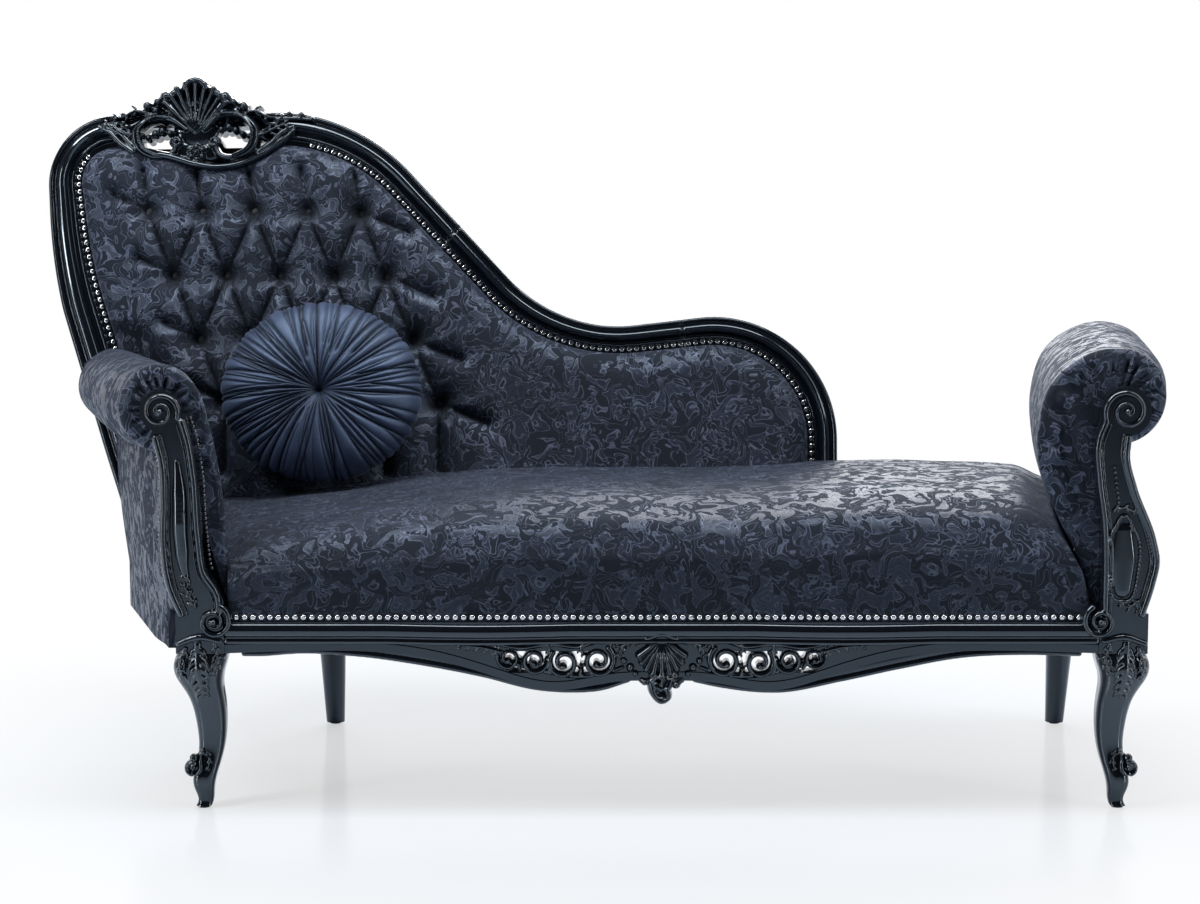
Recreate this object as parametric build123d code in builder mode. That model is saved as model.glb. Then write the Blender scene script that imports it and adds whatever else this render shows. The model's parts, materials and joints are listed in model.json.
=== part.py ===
from build123d import *
import os
from collections import namedtuple
from math import atan2, cos, degrees, hypot, radians, sin, tan

# Chaise longue: carved show-wood frame, sprung seat, two rolled arms, tufted back, loose round cushion.
# Millimetres. X runs along the seat, +Y to the back, +Z up; the front faces -Y.

os.makedirs("parts", exist_ok=True)

# Seat frame
SEAT_CENTRE_X = 105.0  # middle of the seat from the part's origin
FRONT_Y = -362.0  # front of the moulding on the front rail
LEG_SPACING = 1413.0  # front legs, centre to centre
LEG_BLOCK = 74.0  # side of the square block on a front leg
BLOCK_PROUD = 4.0  # leg block in front of the moulding
SEAT_DEPTH = 561.0  # front of the moulding to the rear of the back rail
RAIL_TOP = 310.0  # over the floor
RAIL_HEIGHT = 62.0
RAIL_THICKNESS = 26.0
FIELD_DEPTH = 4.0  # front rail's field in front of its board
BEAD_DEPTH = 4.0  # border strips in front of the field
REBATE = 14.0  # top of the moulding to the top of the rail
TOP_STRIP = 16.0
LOW_STRIP = 13.0
APRON_DROP = 58.0  # lowest lobe of the apron under the rail's bottom edge
WINDOW_LENGTH = 165.0  # pierced window on each side of the apron's middle
WINDOW_HEIGHT = 34.0
WINDOW_OUT = 162.0  # centre of a window from the seat's middle
SHELL_RADIUS = 46.0  # fan of the apron's central shell
SHELL_DROP = 30.0  # boss under the fan
CARVING_RELIEF = 10.0
CROSS_RAIL = 40.0
CROSS_RAIL_OUT = 290.0
CORNER_BLOCK = 44.0

# Legs
GLIDE_HEIGHT = 3.0
GLIDE_RADIUS = 9.0
REAR_LEG_TOP_RADIUS = 28.0
REAR_LEG_FOOT_RADIUS = 16.0
REAR_LEG_RAKE = 60.0  # foot behind the top
REAR_LEFT_INSET = 143.0  # from the front leg's centre line
REAR_RIGHT_INSET = -5.0
BOLT_RADIUS = 4.0
BOLT_LENGTH = 80.0
SCREW_RADIUS = 2.5
SCREW_LENGTH = 50.0

# Arms: distances run outwards from the leg's centre, heights over the rail's top
POST_THICKNESS = 26.0
VOLUTE_HEIGHT = 311.0
LEFT_VOLUTE_OUT = 53.0
LEFT_VOLUTE_RADIUS = 32.0
RIGHT_VOLUTE_OUT = -4.0
RIGHT_VOLUTE_RADIUS = 38.0
LEFT_SPLAY = 16.0  # degrees outwards towards the back
RIGHT_SPLAY = 8.0
LEFT_ROLL_OUT = 52.0
LEFT_ROLL_HEIGHT = 312.0
LEFT_ROLL_RADIUS = 68.0
RIGHT_ROLL_OUT = -12.0
RIGHT_ROLL_HEIGHT = 330.0
RIGHT_ROLL_RADIUS = 74.0
ARM_RAIL_WIDTH = 40.0
ARM_RAIL_HEIGHT = 26.0
ARM_PANEL = 10.0
BULKHEAD = 18.0

# Fabric and fits
COVER = 4.0
FIT = 0.5  # clearance between soft pieces
SHEET = 2.0

# Seat upholstery
SEAT_CROWN = 162.0  # highest point over the rail's top
SEAT_FRONT_EDGE = 84.0  # straight part of the front border over the rail's top
SEAT_END_DROP = 62.0  # fall of the arch over a whole leg spacing from the middle
SEAT_CROWN_CUT = 4.0  # crown of the section over the arch that cuts it
SEAT_REAR_DROP = 6.0
SPRING_ROWS = 7
SPRING_BENDS = 14
SPRING_WIDTH = 44.0
WIRE_RADIUS = 2.0
CLIP_LENGTH = 16.0
CLIP_WIDTH = 40.0
CLIP_THICKNESS = 1.5
NAIL_PITCH = 12.9
NAIL_RADIUS = 4.4
NAIL_HEIGHT = 3.0
NAIL_ROUND = 2.4
NAIL_SHANK = 9.0
NAIL_SHANK_RADIUS = 0.9

# Back: distances along the seat from its middle, heights along the raked plane from the rail's top
RAKE = 10.0  # degrees
FRAME_WIDTH = 52.0
FRAME_BEHIND = 40.0  # frame's rear face behind the raked plane
FRAME_BAND = 6.0  # flat band for the nails in front of the raked plane
FRAME_BEAD = 18.0  # crest of the moulding in front of the raked plane
SHOULDER_X = -1010.0
SHOULDER_HEIGHT = 712.0
SWEEP_X = -546.0
SWEEP_HEIGHT = 720.0
VALLEY_X = -185.0
VALLEY_HEIGHT = 336.0
END_X = 267.0
END_HEIGHT = 384.0
STILE_FOOT_X = -798.0
STILE_BEND_X = -984.0
STILE_BEND_HEIGHT = 510.0
BEND_RADIUS = 900.0
SHOULDER_RADIUS = 60.0
SWEEP_RADIUS = 280.0
VALLEY_RADIUS = 320.0
END_RADIUS = 165.0
BACK_SILL_HEIGHT = 45.0
BACK_PANEL = 8.0
BACK_FOAM = 30.0
BACK_LAYER = 32.0  # tufted layer over the foam
PAD_ROUND = 20.0
TUFT_PITCH = 92.0
TUFT_ROW = 114.0
TUFT_DEPTH = 18.0
TUFT_MOUTH = 27.0  # radius of a tuft at the surface
PLEAT_DEPTH = 7.0
BUTTON_RADIUS = 9.0
BUTTON_HEIGHT = 7.0
UPRIGHT_WIDTH = 50.0
UPRIGHT_DEPTH = 14.0
CREST_X = -794.0
CREST_HALF = 190.0
CREST_RISE = 122.0  # top of the crest over the shoulder's inner edge
CREST_DROP = 34.0
CREST_RELIEF = 30.0

# Loose cushion
CUSHION_X = -560.0  # from the seat's middle
CUSHION_RADIUS = 160.0
CUSHION_EDGE = 34.0  # half thickness at the piping
CUSHION_CROWN = 62.0  # half thickness at the crown
CUSHION_LEAN = 14.0  # degrees from upright
CUSHION_GAP = 0.7  # over the seat
CUSHION_BACK_GAP = 4.5
PIPING_RADIUS = 4.0
PLEATS = 24
PLEAT_GROOVE = 2.5
PLEAT_REACH = 96.0

# Positions that follow from the sizes
LEFT_X = SEAT_CENTRE_X - LEG_SPACING / 2
RIGHT_X = SEAT_CENTRE_X + LEG_SPACING / 2
RAIL_BOTTOM = RAIL_TOP - RAIL_HEIGHT
BOARD_Y = FRONT_Y + FIELD_DEPTH + BEAD_DEPTH
BOARD_REAR_Y = BOARD_Y + RAIL_THICKNESS
BACK_Y = FRONT_Y + SEAT_DEPTH
BACK_RAIL_Y = BACK_Y - RAIL_THICKNESS
BLOCK_FRONT_Y = FRONT_Y - BLOCK_PROUD
BLOCK_Y = BLOCK_FRONT_Y + LEG_BLOCK / 2
BLOCK_REAR_Y = BLOCK_FRONT_Y + LEG_BLOCK
ARM_Y = BLOCK_FRONT_Y + POST_THICKNESS
SEAT_END = LEG_SPACING / 2 - LEG_BLOCK / 2 - 10
REAR_LEG_Y = BACK_Y - RAIL_THICKNESS / 2
REAR_LEFT_X = LEFT_X + REAR_LEFT_INSET
REAR_RIGHT_X = RIGHT_X - REAR_RIGHT_INSET

SIN_RAKE = sin(radians(RAKE))
COS_RAKE = cos(radians(RAKE))
BACK = Plane(origin=(SEAT_CENTRE_X, BACK_Y, RAIL_TOP), x_dir=(1, 0, 0), z_dir=(0, -COS_RAKE, SIN_RAKE))
FOOT_HEIGHT = -RAIL_HEIGHT / COS_RAKE
PANEL_FRONT = UPRIGHT_DEPTH + BACK_PANEL - FRAME_BEHIND
FOAM_FRONT = PANEL_FRONT + BACK_FOAM
PAD_FRONT = FOAM_FRONT + BACK_LAYER
PAD_BOTTOM = (SEAT_CROWN - 4) / COS_RAKE


def finish(piece, name):
    """Label a finished piece and write its STEP file."""
    piece.part.label = name
    export_step(piece.part, f"parts/{name}.step")


def front_plane(y):
    """Upright plane facing the front at depth y; its own axes are X and Z."""
    return Plane(origin=(0, y, 0), x_dir=(1, 0, 0), z_dir=(0, -1, 0))


# Seat rails
# Apron edge: distance from the seat's middle as a share of half the rail, drop as a share of APRON_DROP
APRON_EDGE = ((0.0, 0.74), (0.1, 0.76), (0.25, 1.0), (0.39, 0.6), (0.54, 0.12), (0.78, -0.07), (1.0, 0.0))
RAIL_HALF = LEG_SPACING / 2 - LEG_BLOCK / 2


def rail_outline(top, lift, y):
    """Front view of the front rail up to a given top, its lower edge raised by lift."""
    right = [(SEAT_CENTRE_X + s * RAIL_HALF, RAIL_BOTTOM - d * APRON_DROP + lift) for s, d in APRON_EDGE]
    left = [(2 * SEAT_CENTRE_X - x, z) for x, z in reversed(right[1:])]
    with BuildSketch(front_plane(y)) as outline:
        with BuildLine():
            edge = Spline(*left, *right)
            Polyline(edge @ 1, ((edge @ 1).X, top), ((edge @ 0).X, top), edge @ 0)
        make_face()
    return outline.sketch


MOULDING_TOP = RAIL_TOP - REBATE
WINDOW_Z = RAIL_BOTTOM - APRON_DROP / 4

with BuildPart() as front_rail:
    extrude(rail_outline(RAIL_TOP, 0, BOARD_Y), amount=-RAIL_THICKNESS)
    extrude(rail_outline(MOULDING_TOP, 0, FRONT_Y), amount=-FIELD_DEPTH - BEAD_DEPTH)
    extrude(rail_outline(MOULDING_TOP - TOP_STRIP, LOW_STRIP, FRONT_Y), amount=-BEAD_DEPTH, mode=Mode.SUBTRACT)
    with BuildSketch(front_plane(FRONT_Y)):
        with Locations((SEAT_CENTRE_X - WINDOW_OUT, WINDOW_Z), (SEAT_CENTRE_X + WINDOW_OUT, WINDOW_Z)):
            SlotOverall(WINDOW_LENGTH, WINDOW_HEIGHT)
    extrude(amount=-(FIELD_DEPTH + BEAD_DEPTH + RAIL_THICKNESS), mode=Mode.SUBTRACT)
finish(front_rail, "front_rail")

SCROLLS = 4
SCROLL_PITCH = WINDOW_LENGTH / (SCROLLS + 0.5)
SHELL_Z = MOULDING_TOP - TOP_STRIP - SHELL_RADIUS / 2
FAN_RIBS = 9
with BuildPart() as apron_carving:
    # Shell: a fan of ribs over a hanging boss, laid on the border strips
    with BuildSketch(front_plane(FRONT_Y)):
        with Locations((SEAT_CENTRE_X, SHELL_Z - SHELL_DROP)):
            Ellipse(SHELL_RADIUS * 0.6, SHELL_DROP)
        with Locations((SEAT_CENTRE_X, SHELL_Z - SHELL_RADIUS / 2)):
            with PolarLocations(SHELL_RADIUS / 2, FAN_RIBS, start_angle=0, angular_range=180):
                SlotOverall(SHELL_RADIUS, SHELL_RADIUS / 3.2)
    extrude(amount=CARVING_RELIEF)
    # Ring scrolls wedged across the pierced windows
    with BuildSketch(front_plane(FRONT_Y)):
        for side in (-1, 1):
            with Locations((SEAT_CENTRE_X + side * WINDOW_OUT, WINDOW_Z)):
                with GridLocations(SCROLL_PITCH, 1, SCROLLS, 1):
                    Circle(WINDOW_HEIGHT / 2)
                    Circle(WINDOW_HEIGHT / 4, mode=Mode.SUBTRACT)
    extrude(amount=-RAIL_THICKNESS)
finish(apron_carving, "apron_carving")

Arm = namedtuple("Arm", "side x splay roll_out roll_height roll_radius inner outer")
# Cross-sections: distance outwards from the leg's centre, height as a share of the roll's top or centre
LEFT_INNER = ((-44.0, 0.0), (-42.0, 0.29), (-33.0, 0.55), (-17.0, 0.763), (-2.0, 0.895), (24.0, 0.974))
LEFT_OUTER = ((58.0, 0.79), (58.0, 0.55), (53.0, 0.25), (45.0, 0.0))
RIGHT_INNER = ((-46.0, 0.0), (-62.0, 0.17), (-98.0, 0.35), (-130.0, 0.545), (-133.0, 0.7), (-108.0, 0.89))
RIGHT_OUTER = ((0.0, 0.79), (4.0, 0.62), (26.0, 0.42), (38.0, 0.24), (30.0, 0.0))
left_arm = Arm(
    -1, LEFT_X, LEFT_SPLAY, LEFT_ROLL_OUT, LEFT_ROLL_HEIGHT, LEFT_ROLL_RADIUS, LEFT_INNER, LEFT_OUTER
)
right_arm = Arm(
    1, RIGHT_X, RIGHT_SPLAY, RIGHT_ROLL_OUT, RIGHT_ROLL_HEIGHT, RIGHT_ROLL_RADIUS, RIGHT_INNER, RIGHT_OUTER
)


def arm_shift(arm, y):
    """Outward shift of an arm's cross-section at depth y."""
    return (y - ARM_Y) * tan(radians(arm.splay))


def arm_point(arm, out, height):
    """Point of an arm's cross-section in front-plane axes."""
    return (arm.x + arm.side * out, RAIL_TOP + height)


def run_back(arm, section, start_y, end_y, mode=Mode.ADD):
    """Extrude a cross-section drawn at ARM_Y along the arm's splay, from start_y to end_y."""
    slant = Vector(arm.side * tan(radians(arm.splay)), 1, 0)
    placed = section.moved(Location(slant * (start_y - ARM_Y)))
    extrude(placed, amount=(end_y - start_y) * slant.length, dir=slant.normalized(), mode=mode)


def side_rail_section(arm):
    """Cross-section of the seat rail under an arm; its outer face lies under the cover."""
    outer = arm.outer[-1][0] - COVER
    with BuildSketch(front_plane(ARM_Y)) as section:
        with Locations(arm_point(arm, outer - RAIL_THICKNESS / 2, -RAIL_HEIGHT / 2)):
            Rectangle(RAIL_THICKNESS, RAIL_HEIGHT)
    return section.sketch


with BuildPart() as left_rail:
    run_back(left_arm, side_rail_section(left_arm), BLOCK_REAR_Y, BACK_RAIL_Y)
finish(left_rail, "left_rail")

with BuildPart() as right_rail:
    run_back(right_arm, side_rail_section(right_arm), BLOCK_REAR_Y, BACK_RAIL_Y)
finish(right_rail, "right_rail")


def rail_end(arm):
    """X of the back rail's end, flush with the outer face of the side rail."""
    return arm.x + arm.side * (arm.outer[-1][0] - COVER + arm_shift(arm, BACK_RAIL_Y))


with BuildPart() as back_rail:
    with BuildSketch(Plane.XY.offset(RAIL_BOTTOM)):
        with Locations(((rail_end(left_arm) + rail_end(right_arm)) / 2, (BACK_RAIL_Y + BACK_Y) / 2)):
            Rectangle(rail_end(right_arm) - rail_end(left_arm), RAIL_THICKNESS)
    extrude(amount=RAIL_HEIGHT)
finish(back_rail, "back_rail")

RAIL_GAP = BACK_RAIL_Y - BOARD_REAR_Y
with BuildPart() as cross_rails:
    with BuildSketch(Plane.XY.offset(RAIL_BOTTOM + 4)):
        with Locations((SEAT_CENTRE_X, BOARD_REAR_Y + RAIL_GAP / 2)):
            with GridLocations(2 * CROSS_RAIL_OUT, 1, 2, 1):
                Rectangle(CROSS_RAIL, RAIL_GAP)
    extrude(amount=CROSS_RAIL)
finish(cross_rails, "cross_rails")

FRONT_BLOCK_XS = (LEFT_X + LEG_BLOCK / 2 + CORNER_BLOCK / 2, RIGHT_X - LEG_BLOCK / 2 - CORNER_BLOCK / 2)
with BuildPart() as corner_blocks:
    with BuildSketch(Plane.XY.offset(RAIL_BOTTOM)):
        with Locations(*[(x, BOARD_REAR_Y + CORNER_BLOCK / 2) for x in FRONT_BLOCK_XS]):
            Rectangle(CORNER_BLOCK, CORNER_BLOCK)
        with Locations(*[(x, BACK_RAIL_Y - CORNER_BLOCK / 2) for x in (REAR_LEFT_X, REAR_RIGHT_X)]):
            Rectangle(CORNER_BLOCK, CORNER_BLOCK)
    extrude(amount=RAIL_HEIGHT - CLIP_THICKNESS * 3)
finish(corner_blocks, "corner_blocks")

with BuildPart() as block_screws:
    SCREW_Z = RAIL_BOTTOM + RAIL_HEIGHT / 2
    for x in FRONT_BLOCK_XS:
        with BuildSketch(front_plane(BOARD_REAR_Y + CORNER_BLOCK)):
            with Locations((x, SCREW_Z)):
                Circle(SCREW_RADIUS)
        extrude(amount=SCREW_LENGTH)
    for x in (REAR_LEFT_X, REAR_RIGHT_X):
        with BuildSketch(front_plane(BACK_RAIL_Y - CORNER_BLOCK)):
            with Locations((x - CORNER_BLOCK / 3, SCREW_Z)):
                Circle(SCREW_RADIUS)
        extrude(amount=-SCREW_LENGTH)
finish(block_screws, "block_screws")

# Legs
# Front leg from its top down: height share, shift outwards and forwards, side of the rounded square
CABRIOLE = ((1.0, 0.0, 74.0), (0.92, 4.0, 80.0), (0.8, 3.0, 66.0), (0.7, -4.0, 55.0), (0.57, -9.0, 48.0),
            (0.42, -10.0, 41.0), (0.27, -4.0, 37.0), (0.12, 2.0, 31.0), (0.0, 3.0, 24.0))
CORNER_SHARE = 0.36


def front_leg(x, side):
    """Cabriole leg with the square block that carries the rails and the arm post."""
    with BuildPart() as leg:
        for share, out, width in CABRIOLE:
            with BuildSketch(Plane.XY.offset(GLIDE_HEIGHT + share * (RAIL_BOTTOM - GLIDE_HEIGHT))):
                with Locations((x + side * out, BLOCK_Y - out)):
                    RectangleRounded(width, width, CORNER_SHARE * width)
        loft()
        with BuildSketch(Plane.XY.offset(RAIL_BOTTOM)):
            with Locations((x, BLOCK_Y)):
                Rectangle(LEG_BLOCK, LEG_BLOCK)
        extrude(amount=RAIL_HEIGHT)
    return leg


front_left_leg = front_leg(LEFT_X, -1)
finish(front_left_leg, "front_left_leg")
front_right_leg = front_leg(RIGHT_X, 1)
finish(front_right_leg, "front_right_leg")


def rear_leg(x):
    """Plain round tapered leg raked to the back."""
    with BuildPart() as leg:
        with BuildSketch(Plane.XY.offset(GLIDE_HEIGHT)):
            with Locations((x, REAR_LEG_Y + REAR_LEG_RAKE)):
                Circle(REAR_LEG_FOOT_RADIUS)
        with BuildSketch(Plane.XY.offset(RAIL_BOTTOM)):
            with Locations((x, REAR_LEG_Y)):
                Circle(REAR_LEG_TOP_RADIUS)
        loft()
    return leg


rear_left_leg = rear_leg(REAR_LEFT_X)
finish(rear_left_leg, "rear_left_leg")
rear_right_leg = rear_leg(REAR_RIGHT_X)
finish(rear_right_leg, "rear_right_leg")

FOOT_OUT = CABRIOLE[-1][1]
FEET = (
    (LEFT_X - FOOT_OUT, BLOCK_Y - FOOT_OUT),
    (RIGHT_X + FOOT_OUT, BLOCK_Y - FOOT_OUT),
    (REAR_LEFT_X, REAR_LEG_Y + REAR_LEG_RAKE),
    (REAR_RIGHT_X, REAR_LEG_Y + REAR_LEG_RAKE),
)
with BuildPart() as foot_glides:
    with BuildSketch():
        with Locations(*FEET):
            Circle(GLIDE_RADIUS)
    extrude(amount=GLIDE_HEIGHT)
finish(foot_glides, "foot_glides")

with BuildPart() as leg_bolts:
    with BuildSketch(Plane.XY.offset(RAIL_BOTTOM - BOLT_LENGTH / 2)):
        with Locations((REAR_LEFT_X, REAR_LEG_Y), (REAR_RIGHT_X, REAR_LEG_Y)):
            Circle(BOLT_RADIUS)
    extrude(amount=BOLT_LENGTH)
finish(leg_bolts, "leg_bolts")

# Arm posts: edge points as distance outwards and share of the volute's height
LEFT_POST_OUTER = ((33.0, 0.0), (50.0, 0.14), (58.0, 0.35), (56.0, 0.55), (58.0, 0.75), (70.0, 0.88))
LEFT_POST_INNER = ((16.0, 0.99), (8.0, 0.87), (0.0, 0.7), (-6.0, 0.38), (-14.0, 0.2), (-34.0, 0.09), (-36.0, 0.0))
RIGHT_POST_OUTER = ((32.0, 0.0), (46.0, 0.15), (52.0, 0.26), (46.0, 0.36), (14.0, 0.62), (2.0, 0.77), (4.0, 0.88))
RIGHT_POST_INNER = ((-40.0, 0.99), (-50.0, 0.87), (-48.0, 0.67), (-39.0, 0.46), (-36.0, 0.25), (-36.0, 0.0))
VOLUTE_BOSS = 5.0


def arm_post(arm, volute_out, radius, outer, inner):
    """Carved facing that stands on the leg block and ends in a volute in front of the arm's roll."""
    centre = arm_point(arm, volute_out, VOLUTE_HEIGHT)
    outer_edge = [arm_point(arm, out, share * VOLUTE_HEIGHT) for out, share in outer]
    inner_edge = [arm_point(arm, out, share * VOLUTE_HEIGHT) for out, share in inner]
    with BuildPart() as post:
        with BuildSketch(front_plane(BLOCK_FRONT_Y)):
            with BuildLine():
                rise = Spline(*outer_edge)
                Polyline(rise @ 1, centre, inner_edge[0])
                fall = Spline(*inner_edge)
                Line(fall @ 1, rise @ 0)
            make_face()
            with Locations(centre):
                Circle(radius)
        extrude(amount=-POST_THICKNESS)
        # Rings of the volute, stepped forwards
        for step, share in enumerate((0.9, 0.6, 0.3)):
            with BuildSketch(front_plane(BLOCK_FRONT_Y - step * VOLUTE_BOSS / 2)):
                with Locations(centre):
                    Circle(share * radius)
            extrude(amount=VOLUTE_BOSS / 2)
    return post


left_arm_post = arm_post(left_arm, LEFT_VOLUTE_OUT, LEFT_VOLUTE_RADIUS, LEFT_POST_OUTER, LEFT_POST_INNER)
finish(left_arm_post, "left_arm_post")
right_arm_post = arm_post(right_arm, RIGHT_VOLUTE_OUT, RIGHT_VOLUTE_RADIUS, RIGHT_POST_OUTER, RIGHT_POST_INNER)
finish(right_arm_post, "right_arm_post")


# Arms
def arm_section(arm, inset):
    """Cross-section of an upholstered arm, drawn in by inset except at its foot."""
    top = arm.roll_height + arm.roll_radius - inset
    inner = [arm_point(arm, out + inset, share * top) for out, share in arm.inner]
    inner.append(arm_point(arm, arm.roll_out, top))
    outer = [arm_point(arm, out - inset, share * arm.roll_height) for out, share in arm.outer]
    centre = arm_point(arm, arm.roll_out, arm.roll_height)
    with BuildSketch(front_plane(ARM_Y)) as section:
        with BuildLine():
            wall = Spline(*inner, tangents=[(0, 1), (arm.side, 0)])
            Polyline(wall @ 1, centre, outer[0])
            outside = Spline(*outer)
            Line(outside @ 1, wall @ 0)
        make_face()
        with Locations(centre):
            Circle(arm.roll_radius - inset)
    return section.sketch


def arm_rail_section(arm):
    """Cross-section of the hidden top rail in the arm's roll."""
    with BuildSketch(front_plane(ARM_Y)) as section:
        with Locations(arm_point(arm, arm.roll_out, arm.roll_height)):
            Rectangle(ARM_RAIL_WIDTH, ARM_RAIL_HEIGHT)
    return section.sketch


def arm_panel_section(arm):
    """Cross-section of the hidden panel from the side rail up to the arm's top rail."""
    foot = arm.outer[-1][0] - COVER - RAIL_THICKNESS / 2
    top = arm.roll_height - ARM_RAIL_HEIGHT / 2
    head = arm.roll_out - ARM_RAIL_WIDTH / 4
    corners = [(foot - ARM_PANEL / 2, 0), (foot + ARM_PANEL / 2, 0)]
    corners += [(head + ARM_PANEL / 2, top), (head - ARM_PANEL / 2, top)]
    with BuildSketch(front_plane(ARM_Y)) as section:
        with BuildLine():
            Polyline(*[arm_point(arm, out, height) for out, height in corners], close=True)
        make_face()
    return section.sketch


def outside_skirt(arm):
    """Cross-section of the cover's skirt over the outer face of the side rail."""
    outer = arm.outer[-1][0]
    with BuildSketch(front_plane(ARM_Y)) as section:
        with Locations(arm_point(arm, outer - COVER / 2, -RAIL_HEIGHT / 2)):
            Rectangle(COVER, RAIL_HEIGHT)
    return section.sketch


ARM_CUT = BACK.offset(FRAME_BEAD + FIT)
ARM_OVERRUN = BACK_Y + (LEFT_ROLL_HEIGHT + LEFT_ROLL_RADIUS) * tan(radians(RAKE))

# Room that each arm takes, with clearance; the seat and the back pad are cut to it
with BuildPart() as left_arm_room:
    run_back(left_arm, arm_section(left_arm, -FIT), ARM_Y - FIT, ARM_OVERRUN)
with BuildPart() as right_arm_room:
    run_back(right_arm, arm_section(right_arm, -FIT), ARM_Y - FIT, ARM_OVERRUN)

with BuildPart() as left_arm_rail:
    run_back(left_arm, arm_rail_section(left_arm), ARM_Y + COVER, ARM_OVERRUN)
    split(bisect_by=ARM_CUT, keep=Keep.TOP)
finish(left_arm_rail, "left_arm_rail")

with BuildPart() as left_arm_panel:
    run_back(left_arm, arm_panel_section(left_arm), ARM_Y + COVER, ARM_OVERRUN)
    split(bisect_by=ARM_CUT, keep=Keep.TOP)
finish(left_arm_panel, "left_arm_panel")

with BuildPart() as left_arm_padding:
    run_back(left_arm, arm_section(left_arm, COVER + FIT), ARM_Y + COVER + FIT, ARM_OVERRUN)
    split(bisect_by=ARM_CUT, keep=Keep.TOP)
    add(left_arm_rail.part, mode=Mode.SUBTRACT)
    add(left_arm_panel.part, mode=Mode.SUBTRACT)
finish(left_arm_padding, "left_arm_padding")

with BuildPart() as left_arm_cover:
    run_back(left_arm, arm_section(left_arm, 0), ARM_Y, ARM_OVERRUN)
    run_back(left_arm, arm_section(left_arm, COVER), ARM_Y + COVER, ARM_OVERRUN, mode=Mode.SUBTRACT)
    run_back(left_arm, outside_skirt(left_arm), BLOCK_REAR_Y, BACK_RAIL_Y)
    split(bisect_by=ARM_CUT, keep=Keep.TOP)
    add(left_arm_panel.part, mode=Mode.SUBTRACT)
finish(left_arm_cover, "left_arm_cover")

BULKHEAD_Y = BACK_Y - COVER - BULKHEAD
with BuildPart() as right_arm_bulkhead:
    run_back(right_arm, arm_section(right_arm, COVER + FIT), BULKHEAD_Y, BACK_Y - COVER)
finish(right_arm_bulkhead, "right_arm_bulkhead")

with BuildPart() as right_arm_rail:
    run_back(right_arm, arm_rail_section(right_arm), ARM_Y + COVER, BULKHEAD_Y)
finish(right_arm_rail, "right_arm_rail")

with BuildPart() as right_arm_panel:
    run_back(right_arm, arm_panel_section(right_arm), ARM_Y + COVER, BULKHEAD_Y)
finish(right_arm_panel, "right_arm_panel")

with BuildPart() as right_arm_padding:
    run_back(right_arm, arm_section(right_arm, COVER + FIT), ARM_Y + COVER + FIT, BULKHEAD_Y)
    add(right_arm_rail.part, mode=Mode.SUBTRACT)
    add(right_arm_panel.part, mode=Mode.SUBTRACT)
finish(right_arm_padding, "right_arm_padding")

with BuildPart() as right_arm_cover:
    run_back(right_arm, arm_section(right_arm, 0), ARM_Y, BACK_Y)
    run_back(right_arm, arm_section(right_arm, COVER), ARM_Y + COVER, BACK_Y - COVER, mode=Mode.SUBTRACT)
    run_back(right_arm, outside_skirt(right_arm), BLOCK_REAR_Y, BACK_RAIL_Y)
    add(right_arm_panel.part, mode=Mode.SUBTRACT)
finish(right_arm_cover, "right_arm_cover")

# Seat upholstery
SEAT_REAR_Y = BACK_Y - FIT
SEAT_FRONT_Y = BOARD_Y - COVER
SEAT_RUN = SEAT_REAR_Y - SEAT_FRONT_Y
HESSIAN_Z = RAIL_TOP + CLIP_THICKNESS + 2 * WIRE_RADIUS + 1


def seat_solid(inset):
    """Seat drawn in by inset: front border, rounded edge and crown from the side, slow arch from the front."""
    front = SEAT_FRONT_Y + inset
    arch_top = RAIL_TOP + SEAT_CROWN - inset
    crown = arch_top + SEAT_CROWN_CUT
    edge = RAIL_TOP + SEAT_FRONT_EDGE - inset
    low = MOULDING_TOP + FIT
    half = LEG_SPACING
    with BuildPart() as body:
        with BuildSketch(Plane(origin=(SEAT_CENTRE_X, 0, 0), x_dir=(0, 1, 0), z_dir=(1, 0, 0))):
            with BuildLine():
                border = Line((front, low), (front, edge))
                top = Spline(
                    border @ 1,
                    (front + 0.04 * SEAT_RUN, edge + 0.6 * (crown - edge)),
                    (front + 0.13 * SEAT_RUN, crown - 0.17 * (crown - edge)),
                    (front + 0.48 * SEAT_RUN, crown),
                    (SEAT_REAR_Y, arch_top - SEAT_REAR_DROP),
                    tangents=[(0, 1), (1, -0.05)],
                )
                Polyline(top @ 1, (SEAT_REAR_Y, low), border @ 0)
            make_face()
        extrude(amount=half, both=True)
        with BuildSketch(front_plane(BLOCK_FRONT_Y)):
            with BuildLine():
                arch = ThreePointArc(
                    (SEAT_CENTRE_X - half, arch_top - SEAT_END_DROP),
                    (SEAT_CENTRE_X, arch_top),
                    (SEAT_CENTRE_X + half, arch_top - SEAT_END_DROP),
                )
                low_right = (SEAT_CENTRE_X + half, RAIL_BOTTOM)
                low_left = (SEAT_CENTRE_X - half, RAIL_BOTTOM)
                Polyline(arch @ 1, low_right, low_left, arch @ 0)
            make_face()
        extrude(amount=-2 * SEAT_DEPTH, mode=Mode.INTERSECT)
    return body.part


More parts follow.
